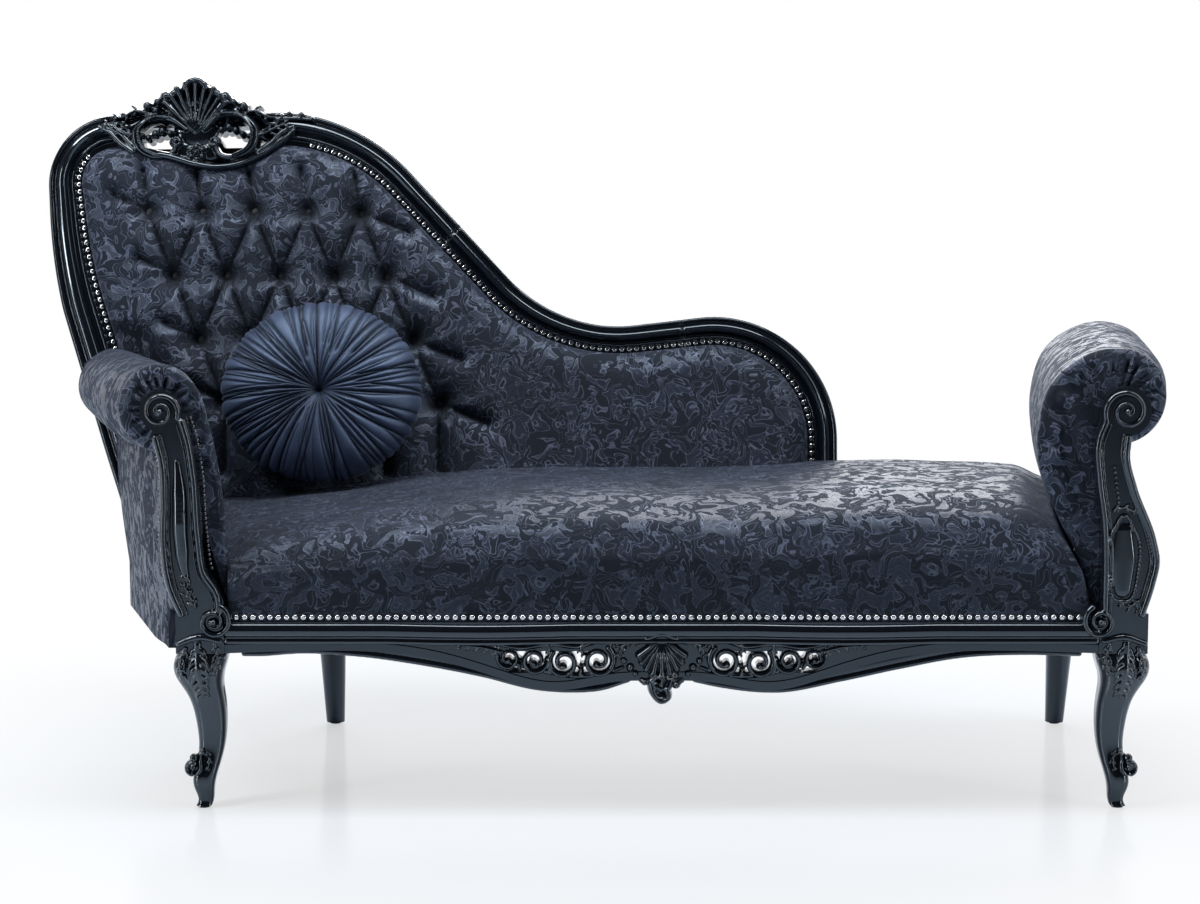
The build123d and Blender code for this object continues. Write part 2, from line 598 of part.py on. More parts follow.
def cut_to_room(bottom, top):
    """Cut the part being built to the room between the posts and the arms, between two heights."""
    left_rear = LEFT_X - arm_shift(left_arm, BACK_Y)
    right_rear = RIGHT_X + arm_shift(right_arm, BACK_Y)
    with BuildSketch(Plane.XY.offset(bottom)) as plan:
        with BuildLine():
            Polyline(
                (SEAT_CENTRE_X - SEAT_END, BLOCK_FRONT_Y),
                (SEAT_CENTRE_X - SEAT_END, ARM_Y - FIT),
                (LEFT_X, ARM_Y - FIT),
                (left_rear, BACK_Y),
                (right_rear, BACK_Y),
                (RIGHT_X, ARM_Y - FIT),
                (SEAT_CENTRE_X + SEAT_END, ARM_Y - FIT),
                (SEAT_CENTRE_X + SEAT_END, BLOCK_FRONT_Y),
                close=True,
            )
        make_face()
    extrude(plan.sketch, amount=top - bottom, mode=Mode.INTERSECT)
    add(left_arm_room.part, mode=Mode.SUBTRACT)
    add(right_arm_room.part, mode=Mode.SUBTRACT)


SPRING_PITCH = 2 * SEAT_END / (SPRING_ROWS + 1)
SPRING_XS = [SEAT_CENTRE_X + (row - (SPRING_ROWS - 1) / 2) * SPRING_PITCH for row in range(SPRING_ROWS)]
SPRING_FRONT_Y = BOARD_Y + RAIL_THICKNESS / 2
SPRING_REAR_Y = BACK_Y - RAIL_THICKNESS / 2
WIRE_Z = RAIL_TOP + CLIP_THICKNESS + WIRE_RADIUS

with BuildPart() as seat_springs:
    bend = (SPRING_REAR_Y - SPRING_FRONT_Y) / (SPRING_BENDS + 1)
    for x in SPRING_XS:
        corners = [(x, SPRING_FRONT_Y, WIRE_Z)]
        for turn in range(SPRING_BENDS + 1):
            across = x + SPRING_WIDTH / 2 * (-1) ** turn
            corners.append((across, SPRING_FRONT_Y + turn * bend, WIRE_Z))
            corners.append((across, SPRING_FRONT_Y + (turn + 1) * bend, WIRE_Z))
        corners.append((x, SPRING_REAR_Y, WIRE_Z))
        with BuildLine() as wave:
            FilletPolyline(*corners, radius=0.49 * bend)
        with BuildSketch(Plane(origin=wave.line @ 0, z_dir=wave.line % 0)):
            Circle(WIRE_RADIUS)
        sweep(path=wave.line)
finish(seat_springs, "seat_springs")

with BuildPart() as spring_clips:
    with BuildSketch(Plane.XY.offset(RAIL_TOP)):
        for x in SPRING_XS:
            with Locations((x, SPRING_FRONT_Y), (x, SPRING_REAR_Y)):
                Rectangle(CLIP_WIDTH, CLIP_LENGTH)
    extrude(amount=CLIP_THICKNESS)
finish(spring_clips, "spring_clips")

SEAT_TOP = RAIL_TOP + SEAT_CROWN + COVER
with BuildPart() as seat_hessian:
    add(seat_solid(COVER + FIT))
    cut_to_room(HESSIAN_Z, HESSIAN_Z + SHEET)
finish(seat_hessian, "seat_hessian")

with BuildPart() as seat_padding:
    add(seat_solid(COVER + FIT))
    cut_to_room(HESSIAN_Z + SHEET, SEAT_TOP)
finish(seat_padding, "seat_padding")

with BuildPart() as seat_cover:
    add(seat_solid(0))
    add(seat_solid(COVER), mode=Mode.SUBTRACT)
    cut_to_room(RAIL_BOTTOM, SEAT_TOP)
    # Only the front border hangs under the rail's top, into the rebate
    with BuildSketch(Plane.XY.offset(RAIL_BOTTOM)):
        with Locations((SEAT_CENTRE_X, (BOARD_Y + BACK_Y) / 2)):
            Rectangle(2 * LEG_SPACING, BACK_Y - BOARD_Y)
    extrude(amount=RAIL_HEIGHT, mode=Mode.SUBTRACT)
finish(seat_cover, "seat_cover")

with BuildPart() as dust_cover:
    inner_left = LEFT_X + LEG_BLOCK / 2 + 6
    inner_right = RIGHT_X - LEG_BLOCK / 2 - 6
    with BuildSketch(Plane.XY.offset(RAIL_BOTTOM)):
        with BuildLine():
            Polyline(
                (inner_left, BOARD_Y + RAIL_THICKNESS),
                (inner_left, BLOCK_REAR_Y + 6),
                (LEFT_X - arm_shift(left_arm, BACK_RAIL_Y), BACK_RAIL_Y + 6),
                (RIGHT_X + arm_shift(right_arm, BACK_RAIL_Y), BACK_RAIL_Y + 6),
                (inner_right, BLOCK_REAR_Y + 6),
                (inner_right, BOARD_Y + RAIL_THICKNESS),
                close=True,
            )
        make_face()
        with Locations(*FEET[2:]):
            with Locations((0, -REAR_LEG_RAKE)):
                Circle(REAR_LEG_TOP_RADIUS + 1, mode=Mode.SUBTRACT)
    extrude(amount=-SHEET)
finish(dust_cover, "dust_cover")


# Nails: a domed head with a shank, built on the plane's own Z
def nail(plane):
    """One upholstery nail with its head on the plane, driven in against the plane's direction."""
    with BuildPart() as one:
        with BuildSketch(plane):
            Circle(NAIL_RADIUS)
        extrude(amount=NAIL_HEIGHT)
        fillet(one.edges().group_by(Axis(plane.origin, plane.z_dir))[-1], NAIL_ROUND)
        with BuildSketch(plane):
            Circle(NAIL_SHANK_RADIUS)
        extrude(amount=-NAIL_SHANK)
    return one.part


FRONT_NAILS = int(2 * SEAT_END / NAIL_PITCH)
NAIL_Z = MOULDING_TOP + REBATE / 2
first_nail = nail(front_plane(SEAT_FRONT_Y))
with BuildPart() as seat_nails:
    with Locations((SEAT_CENTRE_X, 0, NAIL_Z)):
        with GridLocations(NAIL_PITCH, 1, FRONT_NAILS, 1):
            add(first_nail)
finish(seat_nails, "seat_nails")

# Back frame
FRAME_CORNERS = (
    (STILE_FOOT_X, FOOT_HEIGHT),
    (STILE_BEND_X, STILE_BEND_HEIGHT),
    (SHOULDER_X, SHOULDER_HEIGHT),
    (SWEEP_X, SWEEP_HEIGHT),
    (VALLEY_X, VALLEY_HEIGHT),
    (END_X, END_HEIGHT),
    (END_X, FOOT_HEIGHT),
)
FRAME_RADII = (BEND_RADIUS, SHOULDER_RADIUS, SWEEP_RADIUS, VALLEY_RADIUS, END_RADIUS)


def frame_path():
    """Inner edge of the back frame from the left foot over the top to the right foot."""
    with BuildLine(BACK) as path:
        FilletPolyline(*FRAME_CORNERS, radius=FRAME_RADII)
    return path.line


def frame_face(depth, grow, bottom, top=LEG_SPACING):
    """Area inside the back frame at a depth in front of the raked plane, between two heights."""
    with BuildSketch(BACK.offset(depth)) as area:
        with BuildLine():
            edge = FilletPolyline(*FRAME_CORNERS, radius=FRAME_RADII)
            Line(edge @ 1, edge @ 0)
        make_face()
        if grow:
            offset(amount=grow)
        with Locations((0, (bottom + top) / 2)):
            Rectangle(4 * LEG_SPACING, top - bottom, mode=Mode.INTERSECT)
    return area.sketch


REAR_CUT = Plane(origin=(0, BACK_Y, 0), z_dir=(0, 1, 0))
FLOOR_CUT = Plane.XY.offset(RAIL_BOTTOM)
inner_edge = frame_path()
start = inner_edge @ 0
outwards = BACK.z_dir.cross(inner_edge % 0)
with BuildPart() as back_frame:
    with BuildSketch(Plane(origin=start, x_dir=outwards, z_dir=inner_edge % 0)) as moulding:
        with BuildLine():
            Polyline((0, -FRAME_BEHIND), (0, FRAME_BAND), (0.24 * FRAME_WIDTH, FRAME_BAND))
            bead = RadiusArc(
                (0.24 * FRAME_WIDTH, FRAME_BAND), (0.4 * FRAME_WIDTH, FRAME_BAND), -0.09 * FRAME_WIDTH
            )
            cove = Line(bead @ 1, (0.56 * FRAME_WIDTH, 0.45 * FRAME_BEAD))
            swell = ThreePointArc(cove @ 1, (0.8 * FRAME_WIDTH, FRAME_BEAD), (FRAME_WIDTH, 0.3 * FRAME_BEAD))
            Polyline(swell @ 1, (FRAME_WIDTH, -FRAME_BEHIND), (0, -FRAME_BEHIND))
        make_face()
    sweep(path=inner_edge)
    split(bisect_by=REAR_CUT, keep=Keep.TOP)
    split(bisect_by=FLOOR_CUT, keep=Keep.TOP)

# The frame is made of four lengths; each joint is a plane through a line drawn up the raked plane


def joint_plane(low, high):
    """Plane square to the raked plane through two of its points, facing right."""
    along = BACK.from_local_coords(Vector(*high)) - BACK.from_local_coords(Vector(*low))
    return Plane(origin=BACK.from_local_coords(Vector(*low)), x_dir=along, z_dir=along.cross(BACK.z_dir))


TOP_JOINT = joint_plane(
    (STILE_FOOT_X + FRAME_WIDTH, FOOT_HEIGHT), (SHOULDER_X + 2 * SHOULDER_RADIUS, SHOULDER_HEIGHT)
)
SWEEP_JOINT = joint_plane(((SWEEP_X + VALLEY_X) / 2, 0), ((SWEEP_X + VALLEY_X) / 2, SWEEP_HEIGHT))
END_JOINT = joint_plane(((VALLEY_X + END_X) / 2, 0), ((VALLEY_X + END_X) / 2, END_HEIGHT))


def frame_length(left, right):
    """Length of the back frame between two joints; None leaves that end whole."""
    with BuildPart() as length:
        add(back_frame.part)
        if left is not None:
            split(bisect_by=left, keep=Keep.TOP)
        if right is not None:
            split(bisect_by=right, keep=Keep.BOTTOM)
    return length


back_left_stile = frame_length(None, TOP_JOINT)
finish(back_left_stile, "back_left_stile")
back_top_rail = frame_length(TOP_JOINT, SWEEP_JOINT)
finish(back_top_rail, "back_top_rail")
back_sweep_rail = frame_length(SWEEP_JOINT, END_JOINT)
finish(back_sweep_rail, "back_sweep_rail")
back_end_stile = frame_length(END_JOINT, None)
finish(back_end_stile, "back_end_stile")

with BuildPart() as back_sill:
    extrude(frame_face(-FRAME_BEHIND, 0, FOOT_HEIGHT, BACK_SILL_HEIGHT), amount=FRAME_BEHIND)
    split(bisect_by=REAR_CUT, keep=Keep.TOP)
    split(bisect_by=FLOOR_CUT, keep=Keep.TOP)
finish(back_sill, "back_sill")

# Hidden uprights between the sill and the frame
UPRIGHT_XS = (SHOULDER_X * 0.75, SWEEP_X * 0.75, END_X * 0.1)
with BuildPart() as back_uprights:
    extrude(frame_face(-FRAME_BEHIND, 0, BACK_SILL_HEIGHT), amount=UPRIGHT_DEPTH)
    with BuildSketch(BACK.offset(-FRAME_BEHIND)):
        with Locations(*[(x, LEG_SPACING / 2) for x in UPRIGHT_XS]):
            Rectangle(UPRIGHT_WIDTH, LEG_SPACING)
    extrude(amount=UPRIGHT_DEPTH, mode=Mode.INTERSECT)
finish(back_uprights, "back_uprights")

with BuildPart() as back_panel:
    extrude(frame_face(PANEL_FRONT - BACK_PANEL, 0, BACK_SILL_HEIGHT), amount=BACK_PANEL)
finish(back_panel, "back_panel")

with BuildPart() as outside_back_cover:
    extrude(frame_face(-FRAME_BEHIND, FRAME_WIDTH / 3, FOOT_HEIGHT), amount=-SHEET)
    split(bisect_by=FLOOR_CUT, keep=Keep.TOP)
finish(outside_back_cover, "outside_back_cover")

# Crest: half outline as shares of CREST_HALF and of its height, from the middle of the top to the middle below
CREST_TOP = ((0.0, 1.0), (0.2, 0.87), (0.32, 0.86), (0.5, 0.74), (0.66, 0.66), (0.84, 0.62), (1.0, 0.6))
CREST_LOW = ((1.0, 0.6), (0.86, 0.44), (0.6, 0.16), (0.3, 0.05), (0.0, 0.0))
CREST_EYE = (0.3, 0.4)
CREST_EYE_RADIUS = 11.0
CREST_BOTTOM = SHOULDER_HEIGHT - CREST_DROP
CREST_HEIGHT = CREST_RISE + CREST_DROP


def crest_point(side, across, up):
    """Point of the crest in the raked plane's axes."""
    return (CREST_X + side * across * CREST_HALF, CREST_BOTTOM + up * CREST_HEIGHT)


def crest_outline(depth, grow):
    """Outline of the carved crest at a depth in front of the raked plane."""
    top = [crest_point(-1, *p) for p in reversed(CREST_TOP[1:])] + [crest_point(1, *p) for p in CREST_TOP]
    low = [crest_point(1, *p) for p in CREST_LOW] + [crest_point(-1, *p) for p in reversed(CREST_LOW[:-1])]
    low = [(x, y - grow) for x, y in low]
    top = [(x, y + grow) for x, y in top]
    with BuildSketch(BACK.offset(depth)) as outline:
        with BuildLine():
            upper = Spline(*top)
            Line(upper @ 1, low[0])
            lower = Spline(*low)
            Line(lower @ 1, upper @ 0)
        make_face()
    return outline.sketch


with BuildPart() as crest_room:
    extrude(crest_outline(-FRAME_BEHIND, FIT), amount=FRAME_BEHIND + PAD_FRONT)

with BuildPart() as back_crest:
    extrude(crest_outline(0, 0.01), amount=CREST_RELIEF)
    # Central shell
    with BuildSketch(BACK.offset(CREST_RELIEF)):
        with Locations(crest_point(1, 0, 0.55)):
            with PolarLocations(0.17 * CREST_HEIGHT, FAN_RIBS, start_angle=0, angular_range=180):
                SlotOverall(0.34 * CREST_HEIGHT, 0.11 * CREST_HEIGHT)
    extrude(amount=CARVING_RELIEF)
    with BuildSketch(BACK):
        with Locations(crest_point(-1, *CREST_EYE), crest_point(1, *CREST_EYE)):
            Circle(CREST_EYE_RADIUS)
    extrude(amount=CREST_RELIEF, mode=Mode.SUBTRACT)
    add(back_top_rail.part, mode=Mode.SUBTRACT)
    add(back_left_stile.part, mode=Mode.SUBTRACT)
finish(back_crest, "back_crest")

with BuildPart() as back_padding:
    extrude(frame_face(PANEL_FRONT, -FIT, PAD_BOTTOM), amount=BACK_FOAM)
    add(crest_room.part, mode=Mode.SUBTRACT)
    add(left_arm_room.part, mode=Mode.SUBTRACT)
finish(back_padding, "back_padding")

# Tufts: rows of buttons, every other row shifted by half a pitch
TUFT_TOP = SHOULDER_HEIGHT - TUFT_ROW
TUFTS = []
for row, (first, count) in enumerate(((0, 5), (0, 5), (1, 5), (1, 5))):
    for column in range(first, first + count):
        x = SHOULDER_X + 1.4 * TUFT_PITCH + (column + 0.5 * (row % 2)) * TUFT_PITCH
        TUFTS.append((x, TUFT_TOP - row * TUFT_ROW * 0.98))


def near_tufts(tuft):
    """Tufts of the next row down that share a pleat with this one."""
    row_below = [t for t in TUFTS if tuft[1] - 1.2 * TUFT_ROW < t[1] < tuft[1]]
    return [t for t in row_below if abs(t[0] - tuft[0]) < 0.6 * TUFT_PITCH]


with BuildPart() as back_cover:
    extrude(frame_face(FOAM_FRONT, -FIT, PAD_BOTTOM), amount=BACK_LAYER)
    front_edges = back_cover.faces().sort_by(Axis(BACK.origin, BACK.z_dir))[-1].edges()
    fillet(front_edges, PAD_ROUND)
    # Pleats between neighbouring tufts, cut as V grooves
    for tuft in TUFTS:
        for other in near_tufts(tuft):
            run = hypot(other[0] - tuft[0], other[1] - tuft[1])
            turn = degrees(atan2(other[1] - tuft[1], other[0] - tuft[0]))
            middle = ((tuft[0] + other[0]) / 2, (tuft[1] + other[1]) / 2)
            with Locations(BACK.offset(PAD_FRONT)):
                with Locations(Location((*middle, 0), (0, 0, turn))):
                    Box(run, PLEAT_DEPTH * 1.4, PLEAT_DEPTH * 1.4, rotation=(45, 0, 0), mode=Mode.SUBTRACT)
    # A cone at every tuft
    with Locations(BACK.offset(PAD_FRONT - TUFT_DEPTH / 2)):
        with Locations(*TUFTS):
            Cone(BUTTON_RADIUS, TUFT_MOUTH, TUFT_DEPTH, mode=Mode.SUBTRACT)
    add(crest_room.part, mode=Mode.SUBTRACT)
    add(left_arm_room.part, mode=Mode.SUBTRACT)
finish(back_cover, "back_cover")

with BuildPart() as back_buttons:
    with BuildSketch(BACK.offset(PAD_FRONT - TUFT_DEPTH)):
        with Locations(*TUFTS):
            Circle(BUTTON_RADIUS)
    extrude(amount=BUTTON_HEIGHT)
    fillet(back_buttons.edges().group_by(Axis(BACK.origin, BACK.z_dir))[-1], 0.6 * BUTTON_HEIGHT)
finish(back_buttons, "back_buttons")

# Back nails on the flat band, evenly spaced, left out under the crest and behind the left arm
with BuildLine(BACK.offset(FRAME_BAND)) as nail_line:
    band = FilletPolyline(*FRAME_CORNERS, radius=FRAME_RADII, mode=Mode.PRIVATE)
    offset(band, amount=0.12 * FRAME_WIDTH, side=Side.LEFT, closed=False)
band_nail = nail(BACK.offset(FRAME_BAND))
nail_wire = nail_line.wire()
nail_count = int(nail_wire.length / NAIL_PITCH)
nail_shifts = []
for number in range(nail_count):
    along = (number + 0.5) * nail_wire.length / nail_count
    spot = nail_wire.position_at(along, position_mode=PositionMode.LENGTH)
    across, up, _ = BACK.to_local_coords(spot)
    under_crest = abs(across - CREST_X) < CREST_HALF + NAIL_RADIUS and up > CREST_BOTTOM - NAIL_RADIUS
    if up > PAD_BOTTOM and not under_crest:
        nail_shifts.append(Location(spot - BACK.offset(FRAME_BAND).origin))
with BuildPart() as back_nails:
    with Locations(*nail_shifts):
        add(band_nail)
finish(back_nails, "back_nails")

# Loose cushion leaning on the back
CUSHION_SHARES = ((0.0, 0.62), (0.1, 0.7), (0.34, 1.0), (0.7, 0.9), (0.94, 0.62))
LEAN_SIN = sin(radians(CUSHION_LEAN))
LEAN_COS = cos(radians(CUSHION_LEAN))
REACH = [(r * CUSHION_RADIUS, h * CUSHION_CROWN) for r, h in CUSHION_SHARES]
REACH.append((CUSHION_RADIUS, CUSHION_EDGE))
SEAT_AT_CUSHION = RAIL_TOP + SEAT_CROWN - SEAT_END_DROP * (CUSHION_X / LEG_SPACING) ** 2
CUSHION_Z = SEAT_AT_CUSHION + CUSHION_GAP + max(r * LEAN_COS + h * LEAN_SIN for r, h in REACH)


def back_limit(r, h):
    """Largest Y of the cushion's centre at which one point of its rear face clears the back pad."""
    z = CUSHION_Z + r * LEAN_COS - h * LEAN_SIN
    pad = BACK_Y + ((z - RAIL_TOP) * SIN_RAKE - PAD_FRONT - CUSHION_BACK_GAP) / COS_RAKE
    return pad - r * LEAN_SIN - h * LEAN_COS


CUSHION_Y = min(back_limit(side * r, h) for r, h in REACH for side in (-1, 1))
CUSHION = Plane(
    origin=(SEAT_CENTRE_X + CUSHION_X, CUSHION_Y, CUSHION_Z), x_dir=(1, 0, 0), z_dir=(0, -LEAN_COS, LEAN_SIN)
)
CUSHION_SECTION = Plane(origin=CUSHION.origin, x_dir=CUSHION.x_dir, z_dir=-CUSHION.y_dir)
CUSHION_AXIS = Axis(CUSHION.origin, -CUSHION.z_dir)


def cushion_body(inset):
    """Round cushion drawn in by inset: dimpled middle, crowned faces, rounded edge."""
    radius = CUSHION_RADIUS - inset
    face = [(r * radius, h * CUSHION_CROWN - inset) for r, h in CUSHION_SHARES]
    with BuildPart() as body:
        with BuildSketch(CUSHION_SECTION):
            with BuildLine():
                front = Spline(*face, tangents=[(1, 0), (1, -0.6)])
                rim = ThreePointArc(front @ 1, (radius, 0), ((front @ 1).X, -(front @ 1).Y))
                rear = Spline(*[(x, -y) for x, y in reversed(face)], tangents=[(-1, -0.6), (-1, 0)])
                Line(rear @ 1, front @ 0)
            make_face()
        revolve(axis=CUSHION_AXIS)
    return body.part


BUTTON_SEAT = CUSHION_SHARES[0][1] * CUSHION_CROWN
PIPING_R = CUSHION_SHARES[-1][0] * CUSHION_RADIUS
PIPING_H = CUSHION_SHARES[-1][1] * CUSHION_CROWN
with BuildPart() as cushion_filling:
    add(cushion_body(COVER + FIT + PIPING_RADIUS))
finish(cushion_filling, "cushion_filling")

with BuildPart() as cushion_cover:
    add(cushion_body(0))
    # Radial pleats drawn in to the middle of both faces
    for side in (-1, 1):
        with Locations(CUSHION.offset(side * CUSHION_CROWN)):
            with PolarLocations(CUSHION_SHARES[2][0] * CUSHION_RADIUS, PLEATS):
                Cylinder(PLEAT_GROOVE, PLEAT_REACH, rotation=(0, 90, 0), mode=Mode.SUBTRACT)
        with Locations(CUSHION.offset(side * (BUTTON_SEAT + BUTTON_HEIGHT / 2))):
            Cylinder(BUTTON_RADIUS + FIT, BUTTON_HEIGHT, mode=Mode.SUBTRACT)
    for h in (-PIPING_H, PIPING_H):
        with Locations(CUSHION.offset(h)):
            Torus(PIPING_R, PIPING_RADIUS + FIT / 2, mode=Mode.SUBTRACT)
    add(cushion_body(COVER + PIPING_RADIUS), mode=Mode.SUBTRACT)
finish(cushion_cover, "cushion_cover")

with BuildPart() as cushion_piping:
    for h in (-PIPING_H, PIPING_H):
        with Locations(CUSHION.offset(h)):
            Torus(PIPING_R, PIPING_RADIUS)
finish(cushion_piping, "cushion_piping")

with BuildPart() as cushion_buttons:
    for side in (-1, 1):
        with Locations(CUSHION.offset(side * (BUTTON_SEAT + BUTTON_HEIGHT / 2 + FIT))):
            Cylinder(BUTTON_RADIUS, BUTTON_HEIGHT)
finish(cushion_buttons, "cushion_buttons")
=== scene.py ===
import json
import math

import bpy
import numpy as np
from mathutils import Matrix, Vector
from mathutils.bvhtree import BVHTree
from mathutils.geometry import convex_hull_2d, delaunay_2d_cdt


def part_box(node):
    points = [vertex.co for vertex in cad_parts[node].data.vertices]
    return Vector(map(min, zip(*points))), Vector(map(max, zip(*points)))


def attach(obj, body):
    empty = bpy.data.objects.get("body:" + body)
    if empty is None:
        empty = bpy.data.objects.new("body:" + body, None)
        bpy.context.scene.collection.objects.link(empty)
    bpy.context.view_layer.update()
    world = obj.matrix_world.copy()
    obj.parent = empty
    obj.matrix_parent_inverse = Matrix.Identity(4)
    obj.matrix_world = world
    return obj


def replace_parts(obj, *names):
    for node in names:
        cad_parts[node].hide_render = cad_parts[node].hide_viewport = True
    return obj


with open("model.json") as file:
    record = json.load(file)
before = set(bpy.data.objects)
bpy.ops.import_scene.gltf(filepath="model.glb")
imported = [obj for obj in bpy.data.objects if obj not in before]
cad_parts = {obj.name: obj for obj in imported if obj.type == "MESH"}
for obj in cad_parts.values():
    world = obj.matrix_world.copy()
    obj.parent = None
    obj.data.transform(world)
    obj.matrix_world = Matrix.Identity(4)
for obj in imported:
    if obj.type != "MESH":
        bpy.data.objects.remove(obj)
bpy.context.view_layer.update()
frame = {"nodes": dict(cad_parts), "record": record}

NODES = frame["nodes"]
RANDOM = np.random.default_rng(7)
TURN = 2 * math.pi

# Places of the frame, in metres
SEAT_X = 0.105
BACK_Y = 0.199
RAIL_TOP = 0.310
RAIL_HEIGHT = 0.062
LEFT_X = -0.6015
RIGHT_X = 0.8115
ARM_Y = -0.340
BLOCK_Y = -0.366
BLOCK_REAR_Y = -0.292
SEAT_FRONT_Y = -0.358
SEAT_REAR_Y = 0.1985
APRON_Y = -0.354
SIN_RAKE = math.sin(math.radians(10))
COS_RAKE = math.cos(math.radians(10))


# Nodes of materials

def node_material(name):
    material = bpy.data.materials.new(name)
    material.use_nodes = True
    tree = material.node_tree
    return material, tree, tree.nodes["Principled BSDF"]


def wire(tree, node, inputs):
    """Sets a node's inputs by name or number, with a link where the value is another node's output."""
    for key, value in inputs.items():
        if isinstance(value, bpy.types.NodeSocket):
            tree.links.new(value, node.inputs[key])
        else:
            node.inputs[key].default_value = value


def put(tree, kind, inputs=None, **settings):
    """A new node with its inputs and settings."""
    node = tree.nodes.new("ShaderNode" + kind)
    for key, value in settings.items():
        setattr(node, key, value)
    wire(tree, node, inputs or {})
    return node


def maths(tree, operation, a, b=0.0, c=0.0):
    return put(tree, "Math", {0: a, 1: b, 2: c}, operation=operation).outputs[0]


def vector_maths(tree, operation, a, b):
    return put(tree, "VectorMath", {0: a, 1: b}, operation=operation).outputs[0]


def scaled(tree, colour, share):
    return put(tree, "VectorMath", {0: colour, "Scale": share}, operation="SCALE").outputs[0]


def remap(tree, value, low, high, start, end):
    """From start where the value is low to end where it is high."""
    return put(tree, "MapRange", {0: value, 1: low, 2: high, 3: start, 4: end}).outputs[0]


def noise(tree, where, scale, detail, output="Fac"):
    return put(tree, "TexNoise", {"Vector": where, "Scale": scale, "Detail": detail}).outputs[output]


def ripple(tree, value, rate):
    return maths(tree, "SINE", maths(tree, "MULTIPLY", value, rate))


def bands(tree, value, rate):
    """Contour bands of a value: 0 on the lines, 1 between them."""
    return maths(tree, "ABSOLUTE", ripple(tree, value, rate))


def blend(tree, share, first, second):
    return put(tree, "Mix", {0: share, 6: first, 7: second}, data_type="RGBA").outputs[2]


def bump(tree, strength, distance, height):
    return put(tree, "Bump", {"Strength": strength, "Distance": distance, "Height": height})


def object_place(tree):
    return put(tree, "TexCoord").outputs["Object"]


def ramp(tree, factor, stops):
    node = put(tree, "ValToRGB", {"Fac": factor})
    for element, (place, colour) in zip(node.color_ramp.elements, stops):
        element.position = place
        element.color = (*colour, 1)
    return node.outputs["Color"]


def times(colour, share):
    return tuple(min(1.0, c * share) for c in colour)


# Materials

def lacquer(name, colour, rough, wave):
    material, tree, bsdf = node_material(name)
    where = object_place(tree)
    fine = noise(tree, where, 160.0, 3.0)
    worn = ramp(tree, put(tree, "NewGeometry").outputs["Pointiness"], [(0.5, (0, 0, 0)), (0.62, (1, 1, 1))])
    grain = bump(tree, 0.05, 0.0004, fine)
    wire(tree, grain, {"Normal": bump(tree, 0.25, wave, noise(tree, where, 9.0, 2.0)).outputs[0]})
    wire(tree, bsdf, {
        "Base Color": blend(tree, worn, (*colour, 1), (*times(colour[:2], 2.2), colour[2] * 2.3, 1)),
        "Roughness": remap(tree, fine, 0.3, 0.7, rough * 0.75, rough * 1.35),
        "Normal": grain.outputs[0], "IOR": 1.65, "Coat Weight": 0.6, "Coat Roughness": 0.03,
        "Specular Tint": (0.66, 0.84, 1.0, 1)})
    return material


def figure(tree, u, v):
    """Foliage of a damask: how far a place is in a leaf, and how far on an outline or a curl, both 0 to 1."""
    flat = put(tree, "CombineXYZ", {0: u, 1: v}).outputs[0]
    pull = vector_maths(tree, "SUBTRACT", noise(tree, flat, 15.0, 1.0, "Color"), (0.5, 0.5, 0.5))
    bent = vector_maths(tree, "ADD", flat, scaled(tree, pull, 0.17))
    curls = remap(tree, bands(tree, noise(tree, bent, 17.0, 1.0), 30.0), 0.08, 0.38, 1.0, 0.0)
    share = remap(tree, noise(tree, flat, 11.0, 1.0), 0.4, 0.62, 0.2, 0.85)
    leaves = noise(tree, vector_maths(tree, "ADD", bent, (3.1, 1.7, 0.4)), 26.0, 1.5)
    veined = remap(tree, bands(tree, leaves, 40.0), 0.1, 0.5, 0.45, 1.0)
    patch = remap(tree, leaves, 0.53, 0.55, 0.0, 1.0)
    off_rim = maths(tree, "ABSOLUTE", maths(tree, "SUBTRACT", leaves, 0.54))
    rim = remap(tree, off_rim, 0.004, 0.018, 1.0, 0.0)
    outline = maths(tree, "MAXIMUM", maths(tree, "MULTIPLY", curls, share), maths(tree, "MULTIPLY", rim, 0.9))
    return maths(tree, "MULTIPLY", patch, veined), outline


def darken_by_painted_shade(tree, colour, least):
    """Darkens a colour by the shade painted into a second map of the cloth: in creases, pleats and tufts, and
    low on the seat's front.
    """
    depth = put(tree, "SeparateXYZ", {0: put(tree, "UVMap", uv_map="painted_shade").outputs[0]}).outputs[0]
    return scaled(tree, colour, remap(tree, depth, 0.12, 0.85, 1.0, least))


def damask(name, ground, light, thread, figure_scale):
    material, tree, bsdf = node_material(name)
    cloth = put(tree, "UVMap", uv_map="cloth").outputs[0]
    u, v, _ = put(tree, "SeparateXYZ", {0: cloth}).outputs
    fill, outline = figure(tree, *(maths(tree, "MULTIPLY", axis, figure_scale) for axis in (u, v)))
    mask = maths(tree, "MAXIMUM", fill, outline)
    weave = maths(tree, "MULTIPLY", ripple(tree, u, 7000.0), ripple(tree, v, 5200.0))
    leafy = blend(tree, fill, (*ground, 1), (*light, 1))
    tone = remap(tree, noise(tree, cloth, 5.0, 3.0), 0.3, 0.7, 0.78, 1.22)
    toned = scaled(tree, blend(tree, outline, leafy, (*thread, 1)), tone)
    height = maths(tree, "MULTIPLY_ADD", mask, 1.0, maths(tree, "MULTIPLY", weave, 0.25))
    # The cloth's colour is darkened by painted shade from its second map.
    wire(tree, bsdf, {
        "Base Color": darken_by_painted_shade(tree, toned, 0.12), "Roughness": remap(tree, mask, 0.0, 1.0, 0.9, 0.32),
        "Normal": bump(tree, 0.35, 0.0006, height).outputs[0], "Specular Tint": (0.62, 0.78, 1.0, 1),
        "Sheen Weight": 0.08, "Sheen Roughness": 0.4, "Sheen Tint": (0.5, 0.62, 0.9, 1)})
    return material


